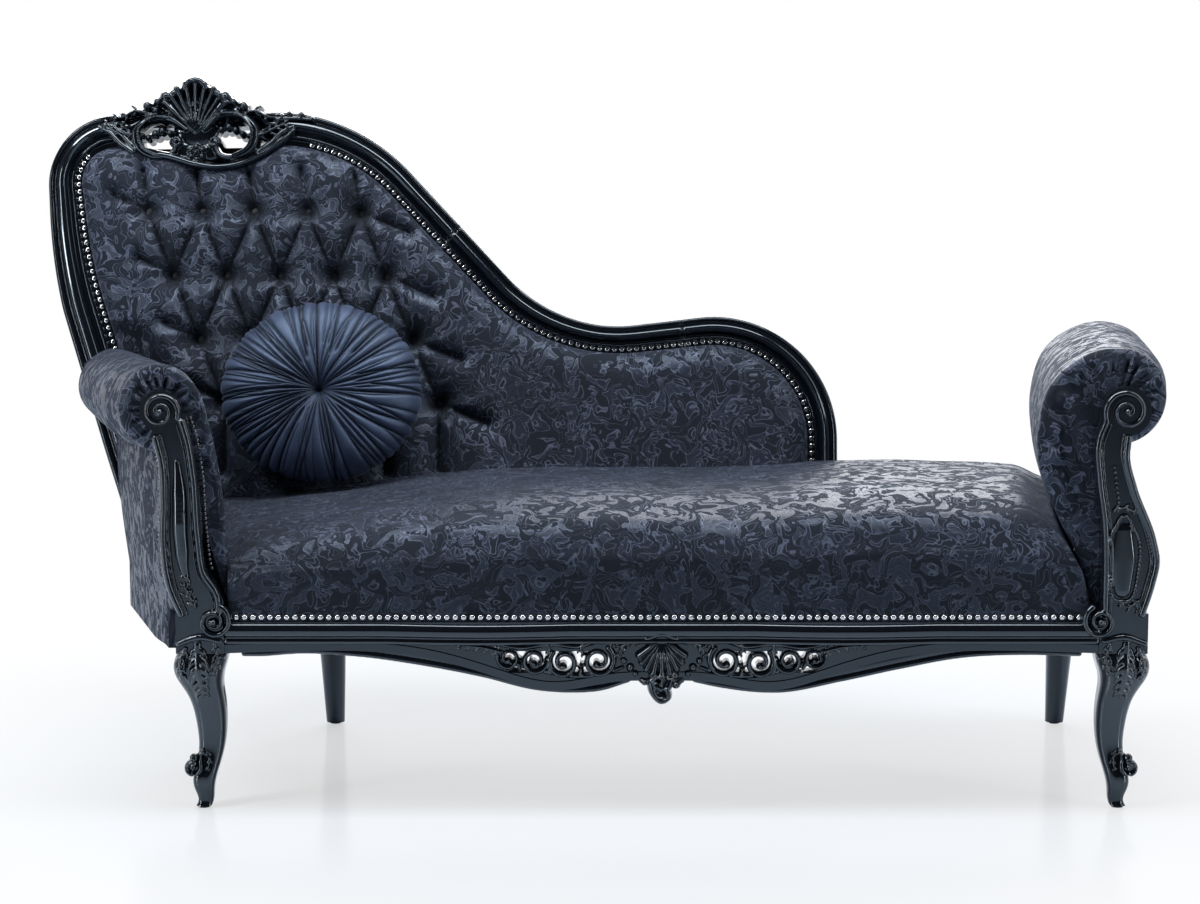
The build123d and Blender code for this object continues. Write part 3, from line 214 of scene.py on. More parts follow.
def plain_cloth(name, colour, rough, sheen, threads, with_painted_shade=False):
    material, tree, bsdf = node_material(name)
    where = object_place(tree)
    waves = [ripple(tree, axis, threads) for axis in put(tree, "SeparateXYZ", {0: where}).outputs]
    weave = maths(tree, "MULTIPLY", maths(tree, "MULTIPLY", waves[0], waves[1]), waves[2])
    cloud = noise(tree, where, 14.0, 4.0)
    tone = ramp(tree, cloud, [(0.3, times(colour, 0.7)), (0.7, times(colour, 1.35))])
    # The satin's colour is darkened by painted shade in its pleats, from its second map.
    if with_painted_shade:
        tone = darken_by_painted_shade(tree, tone, 0.06)
    wire(tree, bsdf, {
        "Base Color": tone, "Roughness": remap(tree, cloud, 0.3, 0.7, rough * 0.85, rough * 1.15),
        "Normal": bump(tree, 0.2, 0.0005, weave).outputs[0],
        "Specular Tint": (0.6, 0.78, 1.0, 1) if with_painted_shade else (1, 1, 1, 1),
        "Sheen Weight": sheen, "Sheen Roughness": 0.35, "Sheen Tint": (0.62, 0.7, 0.9, 1)})
    return material


def metal(name, colour, rough):
    material, tree, bsdf = node_material(name)
    spots = noise(tree, object_place(tree), 220.0, 3.0)
    wire(tree, bsdf, {
        "Base Color": ramp(tree, spots, [(0.3, times(colour, 0.8)), (0.65, colour)]),
        "Roughness": remap(tree, spots, 0.3, 0.7, rough * 0.7, rough * 1.4), "Metallic": 1.0})
    return material


def bare_wood(name, colour):
    material, tree, bsdf = node_material(name)
    stretch = put(tree, "Mapping", {0: object_place(tree), 3: (4.0, 30.0, 30.0)}).outputs[0]
    fibres = {"Vector": stretch, "Scale": 4.0, "Detail": 6.0, "Distortion": 1.2}
    grain = put(tree, "TexNoise", fibres).outputs["Fac"]
    wire(tree, bsdf, {
        "Base Color": ramp(tree, grain, [(0.35, times(colour, 0.6)), (0.65, colour)]),
        "Normal": bump(tree, 0.2, 0.001, grain).outputs[0], "Roughness": 0.65})
    return material


BLACK = lacquer("black_lacquer", (0.0035, 0.005, 0.008), 0.10, 0.002)
DAMASK = damask("damask_cloth", (0.0085, 0.0105, 0.017), (0.022, 0.027, 0.043), (0.105, 0.126, 0.188), 1.35)
BUTTON = plain_cloth("button_cloth", (0.014, 0.017, 0.026), 0.5, 0.2, 5200.0)
SATIN = plain_cloth("satin_cloth", (0.046, 0.066, 0.120), 0.34, 0.2, 5200.0, True)
LINING = plain_cloth("lining_cloth", (0.012, 0.012, 0.014), 0.8, 0.1, 2600.0)
FOAM = plain_cloth("foam", (0.72, 0.66, 0.45), 0.9, 0.0, 900.0)
SILVER = metal("nail_silver", (0.88, 0.89, 0.92), 0.16)
DARK_NAIL = metal("dark_nickel", (0.16, 0.17, 0.19), 0.22)
STEEL = metal("spring_steel", (0.45, 0.46, 0.48), 0.35)
BEECH = bare_wood("beech", (0.55, 0.40, 0.24))
STAINED = bare_wood("stained_beech", (0.012, 0.010, 0.010))
GLIDE = plain_cloth("glide_plastic", (0.03, 0.03, 0.03), 0.6, 0.0, 700.0)
SLOT_LOOK = {
    "lacquered_wood": BLACK, "frame_wood": BEECH, "damask": BUTTON, "satin": SATIN, "foam": FOAM,
    "lining": LINING, "steel": STEEL, "nail_metal": SILVER, "glide_plastic": GLIDE,
}
# Rails and boards that show from behind or from below
EXPOSED = (
    "back_rail", "left_rail", "right_rail", "right_arm_bulkhead", "back_panel", "back_sill", "back_uprights")
for row in frame["record"]["subparts"]:
    mesh = NODES[row["node"]].data
    mesh.materials.clear()
    mesh.materials.append(STAINED if row["node"] in EXPOSED else SLOT_LOOK[row["material_slot"]])


# Shapes

def add(name, data):
    obj = bpy.data.objects.new(name, data)
    bpy.context.scene.collection.objects.link(obj)
    return obj


def build(name, verts, faces, material, body="frame", uv=None, painted_shade=None):
    """A smooth piece from points and faces, riding on a body; a second map keeps the shade painted on it."""
    mesh = bpy.data.meshes.new(name)
    mesh.from_pydata(np.asarray(verts, float).tolist(), [], faces)
    mesh.update()
    mesh.polygons.foreach_set("use_smooth", [True] * len(mesh.polygons))
    corner = np.zeros(len(mesh.loops), np.int32)
    mesh.loops.foreach_get("vertex_index", corner)
    maps = {"cloth": uv}
    if painted_shade is not None:
        maps["painted_shade"] = np.stack([painted_shade, np.zeros(len(painted_shade))], 1)
    for label, values in maps.items():
        if values is not None:
            layer = mesh.uv_layers.new(name=label)
            layer.data.foreach_set("uv", np.asarray(values, np.float32)[corner].ravel())
    mesh.materials.append(material)
    obj = add(name, mesh)
    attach(obj, body)
    return obj


def grid_faces(rows, columns):
    """Quads of a grid of points kept row by row."""
    return [
        (r * columns + c, r * columns + c + 1, (r + 1) * columns + c + 1, (r + 1) * columns + c)
        for r in range(rows - 1) for c in range(columns - 1)
    ]


def ring_faces(rows, around, base=0):
    """Quads of closed rings of points kept one after the other from point base on."""
    starts = [base + r * around for r in range(rows)]
    return [
        (a + c, a + (c + 1) % around, b + (c + 1) % around, b + c)
        for a, b in zip(starts, starts[1:]) for c in range(around)
    ]


def tube_faces(rows, around, base=0, flip=False):
    """Closed rings with both ends capped."""
    faces = ring_faces(rows, around, base)
    faces.append(tuple(range(base + around - 1, base - 1, -1)))
    faces.append(tuple(range(base + (rows - 1) * around, base + rows * around)))
    return [f[::-1] for f in faces] if flip else faces


def thicken(front, count):
    """A front's faces closed by the same faces behind it, count points later, and by walls between."""
    edges = dict.fromkeys((a, b) for f in front for a, b in zip(f, f[1:] + f[:1]))
    walls = [(b, a, a + count, b + count) for a, b in edges if (b, a) not in edges]
    return front + [tuple(i + count for i in f[::-1]) for f in front] + walls


def steps_along(line):
    """Length along a line up to each of its points."""
    return np.r_[0, np.cumsum(np.linalg.norm(np.diff(line, axis=0), axis=1))]


def closed(loop):
    return np.vstack([loop, loop[:1]])


def unit(vectors):
    return vectors / np.linalg.norm(vectors, axis=1)[:, None]


def left_of(line):
    """Directions to the left of a line as it runs."""
    along = np.gradient(line, axis=0)
    return unit(np.stack([-along[:, 1], along[:, 0]], 1))


def curve(points, count):
    """Evenly spaced points on a smooth curve through points."""
    p = np.array(points, float)
    d = steps_along(p)
    m = np.gradient(p, d, axis=0)
    t = np.linspace(0, d[-1], 40 * len(p))
    k = np.clip(np.searchsorted(d, t, side="right") - 1, 0, len(p) - 2)
    h = (d[k + 1] - d[k])[:, None]
    s = ((t - d[k]) / (d[k + 1] - d[k]))[:, None]
    q = (2 * s**3 - 3 * s**2 + 1) * p[k] + (s**3 - 2 * s**2 + s) * h * m[k]
    q += (3 * s**2 - 2 * s**3) * p[k + 1] + (s**3 - s**2) * h * m[k + 1]
    return evenly(q, count)


def evenly(q, count):
    """The same line with count evenly spaced points."""
    q = np.asarray(q, float)
    d = steps_along(q)
    t = np.linspace(0, d[-1], count)
    return np.stack([np.interp(t, d, axis) for axis in q.T], 1)


def smooth_step(x):
    x = np.clip(x, 0, 1)
    return x * x * (3 - 2 * x)


def islands(node):
    """Middle of each separate piece of a CAD node."""
    mesh = NODES[node].data
    welded = {}
    index = [welded.setdefault(tuple(round(c, 5) for c in v.co), len(welded)) for v in mesh.vertices]
    root = list(range(len(welded)))

    def top(i):
        while root[i] != i:
            root[i] = root[root[i]]
            i = root[i]
        return i

    for e in mesh.edges:
        root[top(index[e.vertices[0]])] = top(index[e.vertices[1]])
    groups = {}
    for place, i in welded.items():
        groups.setdefault(top(i), []).append(place)
    return [np.mean([np.min(g, 0), np.max(g, 0)], 0) for g in groups.values()]


def fillet_line(corners, radii, step=0.006):
    """Points of a polyline whose inner corners are rounded."""
    c = np.array(corners, float)
    line = [c[0]]
    for i, radius in enumerate(radii, 1):
        a, b = unit(np.array([c[i - 1] - c[i], c[i + 1] - c[i]]))
        half = math.acos(np.clip(a @ b, -1, 1)) / 2
        middle = c[i] + (a + b) / np.linalg.norm(a + b) * radius / math.sin(half)
        start, end = c[i] + a * radius / math.tan(half), c[i] + b * radius / math.tan(half)
        for s in np.linspace(0, 1, max(6, int(radius * (math.pi - 2 * half) / step))):
            p = start + (end - start) * s - middle
            line.append(middle + p / np.linalg.norm(p) * radius)
    line.append(c[-1])
    return evenly(line, int(steps_along(line)[-1] / step))


def off_segment(p, a, b):
    """Distance from each point to the straight piece from a to b."""
    ab = b - a
    t = np.clip(((p - a) @ ab) / max(ab @ ab, 1e-12), 0, 1)
    return np.linalg.norm(p - (a + t[:, None] * ab), axis=1)


def distance_to_line(p, line):
    """Distance from each point to a polyline."""
    best = np.full(len(p), 1e9)
    for a, b in zip(line[:-1], line[1:]):
        best = np.minimum(best, off_segment(p, a, b))
    return best


def inside(p, loop):
    """Which points lie in a closed outline."""
    x, y = p.T
    odd = np.zeros(len(p), bool)
    for (ax, ay), (bx, by) in zip(loop, np.roll(loop, -1, 0)):
        cross = (ay > y) != (by > y)
        odd ^= cross & (x < (bx - ax) * (y - ay) / (by - ay if by != ay else 1e-12) + ax)
    return odd


def fill_outline(loop, low, high, step, margin, stagger=0.0):
    """Points and triangles of an outline filled with a grid, every other row of it moved along by stagger."""
    x, y = np.meshgrid(np.arange(low[0], high[0], step), np.arange(low[1], high[1], step))
    x = x + (np.arange(len(x)) % 2 * stagger)[:, None]
    points = np.stack([x.ravel(), y.ravel()], 1)
    points = points[inside(points, loop)]
    points = points[distance_to_line(points, closed(loop)) > margin]
    every = [Vector(p) for p in np.vstack([loop, points])]
    edges = [(i, (i + 1) % len(loop)) for i in range(len(loop))]
    flat, _, faces, _, _, _ = delaunay_2d_cdt(every, edges, [], 1, 1e-6)
    return np.array([tuple(p) for p in flat]), [tuple(f) for f in faces]


def level_line(start, end, height, count):
    """Points between two ends of a level line, without the ends."""
    return np.stack([np.linspace(start, end, count)[1:-1], np.full(count - 2, height)], 1)


def back_point(x, t, n):
    """Points from the raked plane's axes: along the seat from its middle, up the plane, out of its front."""
    x, t, n = np.broadcast_arrays(x, t, n)
    y = BACK_Y + t * SIN_RAKE - n * COS_RAKE
    return np.stack([SEAT_X + x, y, RAIL_TOP + t * COS_RAKE + n * SIN_RAKE], -1)


def node_tree(node):
    mesh = NODES[node].data
    return BVHTree.FromPolygons([v.co[:] for v in mesh.vertices], [p.vertices[:] for p in mesh.polygons])


# Arms: outwards from the leg's middle, and height over the rail's top

ARMS = {
    "left": dict(
        side=-1, x=LEFT_X, slope=math.tan(math.radians(16)), out=0.052, height=0.312, radius=0.068,
        fall=0.024, bulge=0.012, hang=0.022,
        inner=((-44, 0), (-42, 0.29), (-33, 0.55), (-17, 0.763), (-2, 0.895), (24, 0.974)),
        outer=((58, 0.79), (58, 0.55), (53, 0.25), (45, 0)),
    ),
    "right": dict(
        side=1, x=RIGHT_X, slope=math.tan(math.radians(8)), out=-0.012, height=0.330, radius=0.074,
        fall=-0.003, bulge=0.008, hang=0.0,
        inner=((-46, 0), (-62, 0.17), (-98, 0.35), (-130, 0.545), (-133, 0.7), (-108, 0.89)),
        outer=((0, 0.79), (4, 0.62), (26, 0.42), (38, 0.24), (30, 0)),
    ),
}
ARM_REAR_GAP = 0.0185
ARM_EDGE = 0.012
ARM_FOOT = -0.0005
HEM_DEPTH = 0.013
HEM_REAR_Y = 0.172


def arm_loop(arm):
    """Closed cross-section of an arm from the foot of its inner face, over the roll, down its outer face."""
    out, height, radius = arm["out"], arm["height"], arm["radius"]
    top = height + radius
    beyond = (out + 0.4 * radius, height + 0.9165 * radius)
    wall = curve([(o / 1000, s * top) for o, s in arm["inner"]] + [(out, top), beyond], 300)
    wall = evenly(np.vstack([wall[wall[:, 0] < out], [(out, top)]]), 90)
    end = arm["outer"][0]
    last = math.atan2(end[1] * height - height, end[0] / 1000 - out)
    angles = np.linspace(math.pi / 2, last, 70)[1:-1]
    roll = (out, height) + radius * np.stack([np.cos(angles), np.sin(angles)], 1)
    outside = curve([(o / 1000, s * height) for o, s in arm["outer"]], 50)
    return np.vstack([wall, roll, outside]), len(wall), len(roll)


def loop_normals(loop):
    """Outward directions of a loop that runs clockwise when its inner face is on the left."""
    d = np.roll(loop, -1, 0) - np.roll(loop, 1, 0)
    return unit(np.stack([-d[:, 1], d[:, 0]], 1))


def arm_piece(key):
    arm = ARMS[key]
    loop, walls, rolls = arm_loop(arm)
    foot = loop[-1]
    skirt = np.array([foot + (0, -RAIL_HEIGHT * s) for s in np.linspace(0.1, 1, 8)])
    hem = foot[0] - HEM_DEPTH
    under = np.array([(hem, -RAIL_HEIGHT), (hem, ARM_FOOT), (loop[0][0], ARM_FOOT)])
    whole = np.vstack([loop, skirt, under, loop[:1]])
    count = len(whole)
    normals = closed(loop_normals(whole[:-1]))
    girth = steps_along(whole)
    drop = (np.arange(count) >= len(loop)) & (whole[:, 1] < 0)
    # Folds gathered around the front of the roll
    gather = np.zeros(count)
    gather[int(walls * 0.45):walls + rolls] = 1
    gather = np.convolve(np.pad(gather, 8, mode="edge"), np.ones(17) / 17, mode="valid")
    angle = np.arctan2(whole[:, 1] - arm["height"], whole[:, 0] - arm["out"])
    folds = np.sin(angle * 17 + 1.3 * np.sin(angle * 5)) * 0.6
    folds += np.sin(angle * 29 + 2.0 * np.sin(angle * 3)) * 0.4
    folds = np.abs(folds) ** 0.7 * np.sign(folds)
    insets = np.linspace(0.034, ARM_EDGE, 12)
    rings = [(inset, 0.0, smooth_step((inset - ARM_EDGE) / 0.012)) for inset in insets]
    for turn in np.linspace(0, math.pi / 2, 9)[1:]:
        fold = 0.25 * (1 - turn / (math.pi / 2))
        rings.append((ARM_EDGE * (1 - math.sin(turn)), ARM_EDGE * (1 - math.cos(turn)), fold))
    rows = []
    for inset, depth, fold in rings:
        flat = whole - normals * inset
        flat[drop, 1] = ARM_FOOT
        rows.append((flat, ARM_Y + depth - fold * 0.006 * folds * gather))
    # Cross-sections from the front to the rear
    rear = BACK_Y if key == "right" else BACK_Y + (whole[:, 1] * SIN_RAKE - ARM_REAR_GAP) / COS_RAKE
    for s in np.r_[np.linspace(0.03, 0.07, 3), np.linspace(0.085, 1, 46)]:
        puff = 0.004 * math.sin(math.pi * s) * np.clip(1 - np.abs(whole[:, 1]) / 0.6, 0, 1)
        flat = whole + normals * np.where(drop, 0, puff)[:, None]
        flat[:, 0] += arm["bulge"] * smooth_step(s / 0.3) * smooth_step(whole[:, 0] / 0.05)
        flat[:, 1] -= arm["hang"] * s * (whole[:, 1] <= -RAIL_HEIGHT)
        flat[:, 1] -= arm["fall"] * s * np.clip(whole[:, 1] / arm["height"], 0, 1) ** 2
        y = np.full(count, ARM_Y) + s * (rear - ARM_Y)
        y[drop] = np.minimum(y[drop], HEM_REAR_Y)
        flat[drop & (y < BLOCK_REAR_Y), 1] = ARM_FOOT
        y[drop & (np.abs(y - BLOCK_REAR_Y) < 0.0125)] = BLOCK_REAR_Y - 0.016
        rows.append((flat, y))
    rows.append((flat, y + 0.0006))
    verts, uv = [], []
    along = 0.0
    for i, (flat, y) in enumerate(rows):
        x = arm["x"] + arm["side"] * (flat[:, 0] + (y - ARM_Y) * arm["slope"])
        verts.append(np.stack([x, y, RAIL_TOP + flat[:, 1]], 1))
        if i:
            along += float(np.median(np.linalg.norm(verts[-1] - verts[-2], axis=1)))
        on_end = i < len(rings) or i == len(rows) - 1
        uv.append(flat if on_end else np.stack([np.full(count, along), girth], 1))
    faces = grid_faces(len(rows), count)
    last = (len(rows) - 1) * count
    faces += [tuple(range(count - 2, -1, -1)), tuple(range(last, last + count - 1))]
    if arm["side"] < 0:
        faces = [f[::-1] for f in faces]
    return build(key + "_arm_upholstery", np.vstack(verts), faces, DAMASK, uv=np.vstack(uv))


left_arm = arm_piece("left")
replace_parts(left_arm, "left_arm_cover", "left_arm_padding")
right_arm = arm_piece("right")
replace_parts(right_arm, "right_arm_cover", "right_arm_padding")


# Seat

SEAT_FOOT = 0.2965
SEAT_GAP = 0.0008


def arm_wall(key, y, z):
    """X of an arm's inner face at a depth and height."""
    arm = ARMS[key]
    out, share = np.array(arm["inner"]).T
    reach = np.interp(z - RAIL_TOP, share * (arm["height"] + arm["radius"]), out / 1000)
    return arm["x"] + arm["side"] * (reach + np.maximum(y - ARM_Y, 0) * arm["slope"])


def seat_piece():
    crown = [(-0.3357, 0.4408), (-0.2857, 0.4597), (-0.091, 0.472)]
    top = curve([(SEAT_FRONT_Y, 0.394), *crown, (SEAT_REAR_Y, 0.466)], 90)
    border = np.stack([np.full(24, SEAT_FRONT_Y), np.linspace(SEAT_FOOT, 0.392, 24)], 1)
    rear = [(SEAT_REAR_Y, z) for z in (0.43, 0.33, SEAT_FOOT)]
    profile = np.vstack([border, top, rear, border[:1]])
    rows, columns = len(profile), 260
    verts, uv = [], []
    for (y, z), s in zip(profile, steps_along(profile)):
        low, high = arm_wall("left", y, z) + SEAT_GAP, arm_wall("right", y, z) - SEAT_GAP
        x = low + (high - low) * np.linspace(0, 1, columns)
        gap = np.minimum(x - low, high - x)
        lift = max(0.0, (z - 0.30) / 0.17)
        dz = -0.062 * ((x - SEAT_X) / (RIGHT_X - LEFT_X)) ** 2 - 0.02 * (1 - smooth_step(gap / 0.07)) ** 1.5
        dz += 0.016 * smooth_step((x - 0.2) / 0.3) - 0.036 * smooth_step((-0.13 - x) / 0.5)
        dz += 0.0012 * np.sin(x * 31 + y * 17) * np.sin(x * 13 - y * 23)
        dy = 0.0015 * np.sin(x * 23 + z * 30) * (y < -0.34 and z > 0.31)
        verts.append(np.stack([x, y + dy, z + dz * lift], 1))
        uv.append(np.stack([x, np.full(columns, s)], 1))
    faces = [f[::-1] for f in grid_faces(rows, columns)]
    left_end = tuple(r * columns for r in range(rows - 1))
    faces += [left_end[::-1], tuple(i + columns - 1 for i in left_end)]
    verts = np.vstack(verts)
    # Painted shade: the seat's front border darker towards its foot, where little light falls.
    shade = 0.5 * smooth_step((0.44 - verts[:, 2]) / 0.07) * (verts[:, 1] < -0.28)
    return build("seat_upholstery", verts, faces, DAMASK, uv=np.vstack(uv), painted_shade=shade)


seat = seat_piece()
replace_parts(seat, "seat_cover", "seat_padding")


# Back: along the seat from its middle, and up the raked plane

FRAME_CORNERS = (
    (-0.798, -0.063), (-0.984, 0.510), (-1.010, 0.712), (-0.546, 0.720), (-0.185, 0.336), (0.267, 0.384),
    (0.267, -0.063))
FRAME_RADII = (0.900, 0.060, 0.280, 0.320, 0.165)
CREST_X = -0.794
CREST_LOW = np.array([
    (-1.0, 0.79), (-0.952, 0.750), (-0.925, 0.736), (-0.901, 0.711), (-0.872, 0.703), (-0.839, 0.696),
    (-0.791, 0.684), (-0.764, 0.677), (-0.716, 0.684), (-0.678, 0.700), (-0.645, 0.721), (-0.625, 0.742),
    (-0.58, 0.79)])
PAD_LOW = (-1.02, 0.095)
PAD_HIGH = (0.28, 0.74)
PAD_FRONT = 0.044
PAD_REAR = -0.017
PAD_RIM = 0.010
PAD_STEP = 0.0038
PAD_BOTTOM = PAD_LOW[1]
TUFT_DEPTH = 0.046
BUTTON_SIDES = 24
TUFTS = []
for spot in islands("back_buttons"):
    up = (spot[1] - BACK_Y) * SIN_RAKE + (spot[2] - RAIL_TOP) * COS_RAKE
    TUFTS.append((spot[0] - SEAT_X, up))


def pleat_lines():
    """Pleats between neighbouring buttons, and from the outer rows to the edges."""
    lines = []
    rows = sorted({round(t, 3) for _, t in TUFTS}, reverse=True)
    for i, (x, t) in enumerate(TUFTS):
        for p, q in TUFTS[i + 1:]:
            if 0.06 < abs(t - q) < 0.14 and abs(x - p) < 0.06:
                lines.append(((x, t), (p, q)))
        if abs(t - rows[0]) < 0.01:
            lines.append(((x, t), (x - 0.012, t + 0.075)))
        if abs(t - rows[-1]) < 0.01:
            lines.append(((x, t), (x, t - 0.12)))
    for r in rows:
        xs = [x for x, t in TUFTS if abs(t - r) < 0.01]
        lines.append(((min(xs), r), (min(xs) - 0.06, r + 0.03)))
        lines.append(((max(xs), r), (max(xs) + 0.085, r - 0.035)))
    return [(np.array(a), np.array(b)) for a, b in lines]


def pad_height(p, edge_line):
    """How far the padded face stands in front of the raked plane, and how much shade is painted on it in its
    pleats and round its tufts.
    """
    d = distance_to_line(p, edge_line)
    base = PAD_RIM + (PAD_FRONT - PAD_RIM) * np.sqrt(1 - (1 - np.clip(d / 0.05, 0, 1)) ** 2)
    base += 0.018 * smooth_step((d - 0.03) / 0.09) * smooth_step((p[:, 0] + 0.5) / -0.12)
    low, fold = np.zeros(len(p)), np.zeros(len(p))
    # Painted shade: dark lines on the pleats and round the tufts, darker where the face sinks.
    for a, b in pleat_lines():
        off = off_segment(p, a, b)
        low = np.maximum(low, 0.027 * np.exp(-off / 0.012))
        fold = np.maximum(fold, 0.95 * np.exp(-((off / 0.0042) ** 2)))
    for c in TUFTS:
        off = np.linalg.norm(p - np.array(c), axis=1)
        low = np.maximum(low, TUFT_DEPTH * np.exp(-((off / 0.029) ** 1.3)))
        fold = np.maximum(fold, np.exp(-((off / 0.024) ** 2)))
    base = base - low * smooth_step(d / 0.02)
    # The pad is squeezed in behind the end of the left arm
    arm = ARMS["left"]
    x, y, z = back_point(*p.T, 0.03).T
    section = np.stack([arm["x"] - x - (y - ARM_Y) * arm["slope"], z - RAIL_TOP], 1)
    loop, _, _ = arm_loop(arm)
    gap = distance_to_line(section, closed(loop))
    gap = np.where(inside(section, loop), -gap, gap)
    limit = 0.015 + (base - 0.015) * smooth_step((gap - 0.002) / 0.03)
    return np.where(gap < 0.034, np.minimum(base, limit), base), np.maximum(fold, low / 0.075)


def pad_edge():
    """The line where the pad meets the frame, lower under the crest."""
    edge = fillet_line(FRAME_CORNERS, FRAME_RADII)
    edge = edge[edge[:, 1] > PAD_BOTTOM]
    top = np.interp(edge[:, 0], *CREST_LOW.T)
    under = (edge[:, 0] < CREST_LOW[-1, 0]) & (edge[:, 1] > 0.6)
    edge[:, 1] = np.where(under, np.minimum(edge[:, 1], top), edge[:, 1])
    return edge[np.r_[True, np.linalg.norm(np.diff(edge, axis=0), axis=1) > 0.002]]


def back_piece():
    edge = pad_edge()
    loop = np.vstack([edge, level_line(edge[-1][0], edge[0][0], PAD_BOTTOM, 200)])
    flat, front = fill_outline(loop, PAD_LOW, PAD_HIGH, PAD_STEP, 0.003, PAD_STEP / 2)
    # fold holds the shade painted in the pleats and round the tufts.
    high, fold = pad_height(flat, edge)
    verts = np.vstack([back_point(*flat.T, high), back_point(*flat.T, PAD_REAR)])
    faces = thicken(front, len(flat))
    uv, painted_shade = np.tile(flat, (2, 1)), np.tile(fold, 2)
    return build("back_upholstery", verts, faces, DAMASK, uv=uv, painted_shade=painted_shade)


back = back_piece()
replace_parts(back, "back_cover", "back_padding")


def button(radius, height, dome, lobes, phase=0):
    """Points of a covered button in rings from its top: across, up and out, its rim gathered in lobes."""
    around = np.linspace(0, TURN, BUTTON_SIDES, endpoint=False)
    ring = radius * np.sin(dome)[:, None] * (1 + 0.03 * np.sin(around * lobes + phase))
    rise = np.broadcast_to(height * np.cos(dome)[:, None], ring.shape)
    return ring * np.cos(around), ring * np.sin(around), rise


def tuft_buttons():
    """Covered buttons at the bottom of the tufts, each with creases gathered to its rim."""
    dome = np.linspace(0.05, math.pi * 0.55, 9)
    bottoms, _ = pad_height(np.array(TUFTS), pad_edge())
    verts, faces = [], []
    for k, (x, t) in enumerate(TUFTS):
        across, up, out = button(0.0105, 0.007, dome, 7, k)
        verts.append(back_point(x + across, t + up, bottoms[k] + out).reshape(-1, 3))
        faces += tube_faces(len(dome), BUTTON_SIDES, k * across.size, True)
    return build("back_tuft_buttons", np.vstack(verts), faces, BUTTON)


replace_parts(tuft_buttons(), "back_buttons")


# Mouldings: the frame of the back in its four rails, and the front rail

RAIL_PROFILE = np.array([
    (0, -36), (0, 6), (11.5, 6), (12.5, 9), (14.5, 13), (17, 14.5), (19.5, 13), (21.5, 9), (23, 8), (26, 13),
    (31, 20), (37, 23.5), (43, 21.5), (47.5, 16), (49, 12.5), (51.5, 12), (54, 15.5), (58, 17), (61.5, 14),
    (63, 6), (62.5, -10), (58, -26), (52, -36)]) / 1000
RAIL_WIDTH = RAIL_PROFILE[:, 0].max()
BEAD_PROFILE = np.array([
    (0, 295), (5, 294), (9, 289), (10, 283), (8, 277), (3.5, 273), (3, 271), (5.5, 269), (6, 266), (4, 263),
    (0, 262), (-6, 262), (-6, 295)]) / 1000
BEAD_Y = -0.3615


def back_mouldings():
    line = fillet_line(FRAME_CORNERS, FRAME_RADII)
    out = left_of(line)
    section = evenly(RAIL_PROFILE, 110)
    rails = ("back_left_stile", "back_top_rail", "back_sweep_rail", "back_end_stile")
    trees = [node_tree(name) for name in rails]
    middle = back_point(*(line + out * 0.024).T, 0.0)
    owner = [int(np.argmin([tree.find_nearest(Vector(p))[3] for tree in trees])) for p in middle]
    for k, name in enumerate(rails):
        mine = [i for i, o in enumerate(owner) if o == k]
        rows = []
        for i in range(mine[0], min(mine[-1] + 2, len(line))):
            x, t = line[i]
            share = np.interp(x, (-0.9, -0.6, -0.45, -0.1, 0.267), (0.9, 0.92, 0.84, 0.76, 0.83))
            if x < CREST_X:
                share = np.interp(t, (0.2, 0.45, 0.6, 0.68), (1.22, 1.16, 1.0, 0.9))
            over = 0.034 * smooth_step((0.125 - abs(x - CREST_X)) / 0.03) * (t > 0.6)
            across = section[:, :1] * share
            spot = line[i] + out[i] * (over + across * (1 - over / (RAIL_WIDTH * share)))
            rows.append(back_point(*spot.T, section[:, 1]))
        faces = tube_faces(len(rows), len(section))
        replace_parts(build(name + "_moulded", np.vstack(rows), faces, BLACK), name)


back_mouldings()


def rail_moulding():
    """Half-round and bead along the front rail, between the two leg blocks, waving gently with the apron."""
    rows, around = 180, 40
    out, up = evenly(BEAD_PROFILE, around).T
    x = np.linspace(LEFT_X + 0.036, RIGHT_X - 0.036, rows)
    wave = np.minimum(0.0022 * np.cos((x - SEAT_X) * TURN / 0.56), 0.0)
    verts = []
    for a, w in zip(x, wave):
        verts.append(np.stack([np.full(around, a), BEAD_Y - out, up + w * (out > -0.001)], 1))
    faces = tube_faces(rows, around, 0, True)
    build("front_rail_moulding", np.vstack(verts), faces, BLACK)


rail_moulding()


# Sheets: the outside of the back and the dust cover

SHEET_FOOT = -0.060
SHEET_STEP = 0.02


def flat_sheet(name, loop, place, sag):
    """A stretched sheet cut to an outline, pressed out of its plane by sag in the middle."""
    low, high = loop.min(0), loop.max(0)
    flat, faces = fill_outline(loop, low, high, SHEET_STEP, SHEET_STEP * 0.4)
    off = sag * smooth_step(distance_to_line(flat, closed(loop)) / 0.25)
    obj = build(name, place(*flat.T, off), faces, LINING, uv=flat)
    x, y = loop.T
    area = abs(float(x @ np.roll(y, 1) - y @ np.roll(x, 1))) / 2
    return obj, tuple(float(c) for c in high - low), area


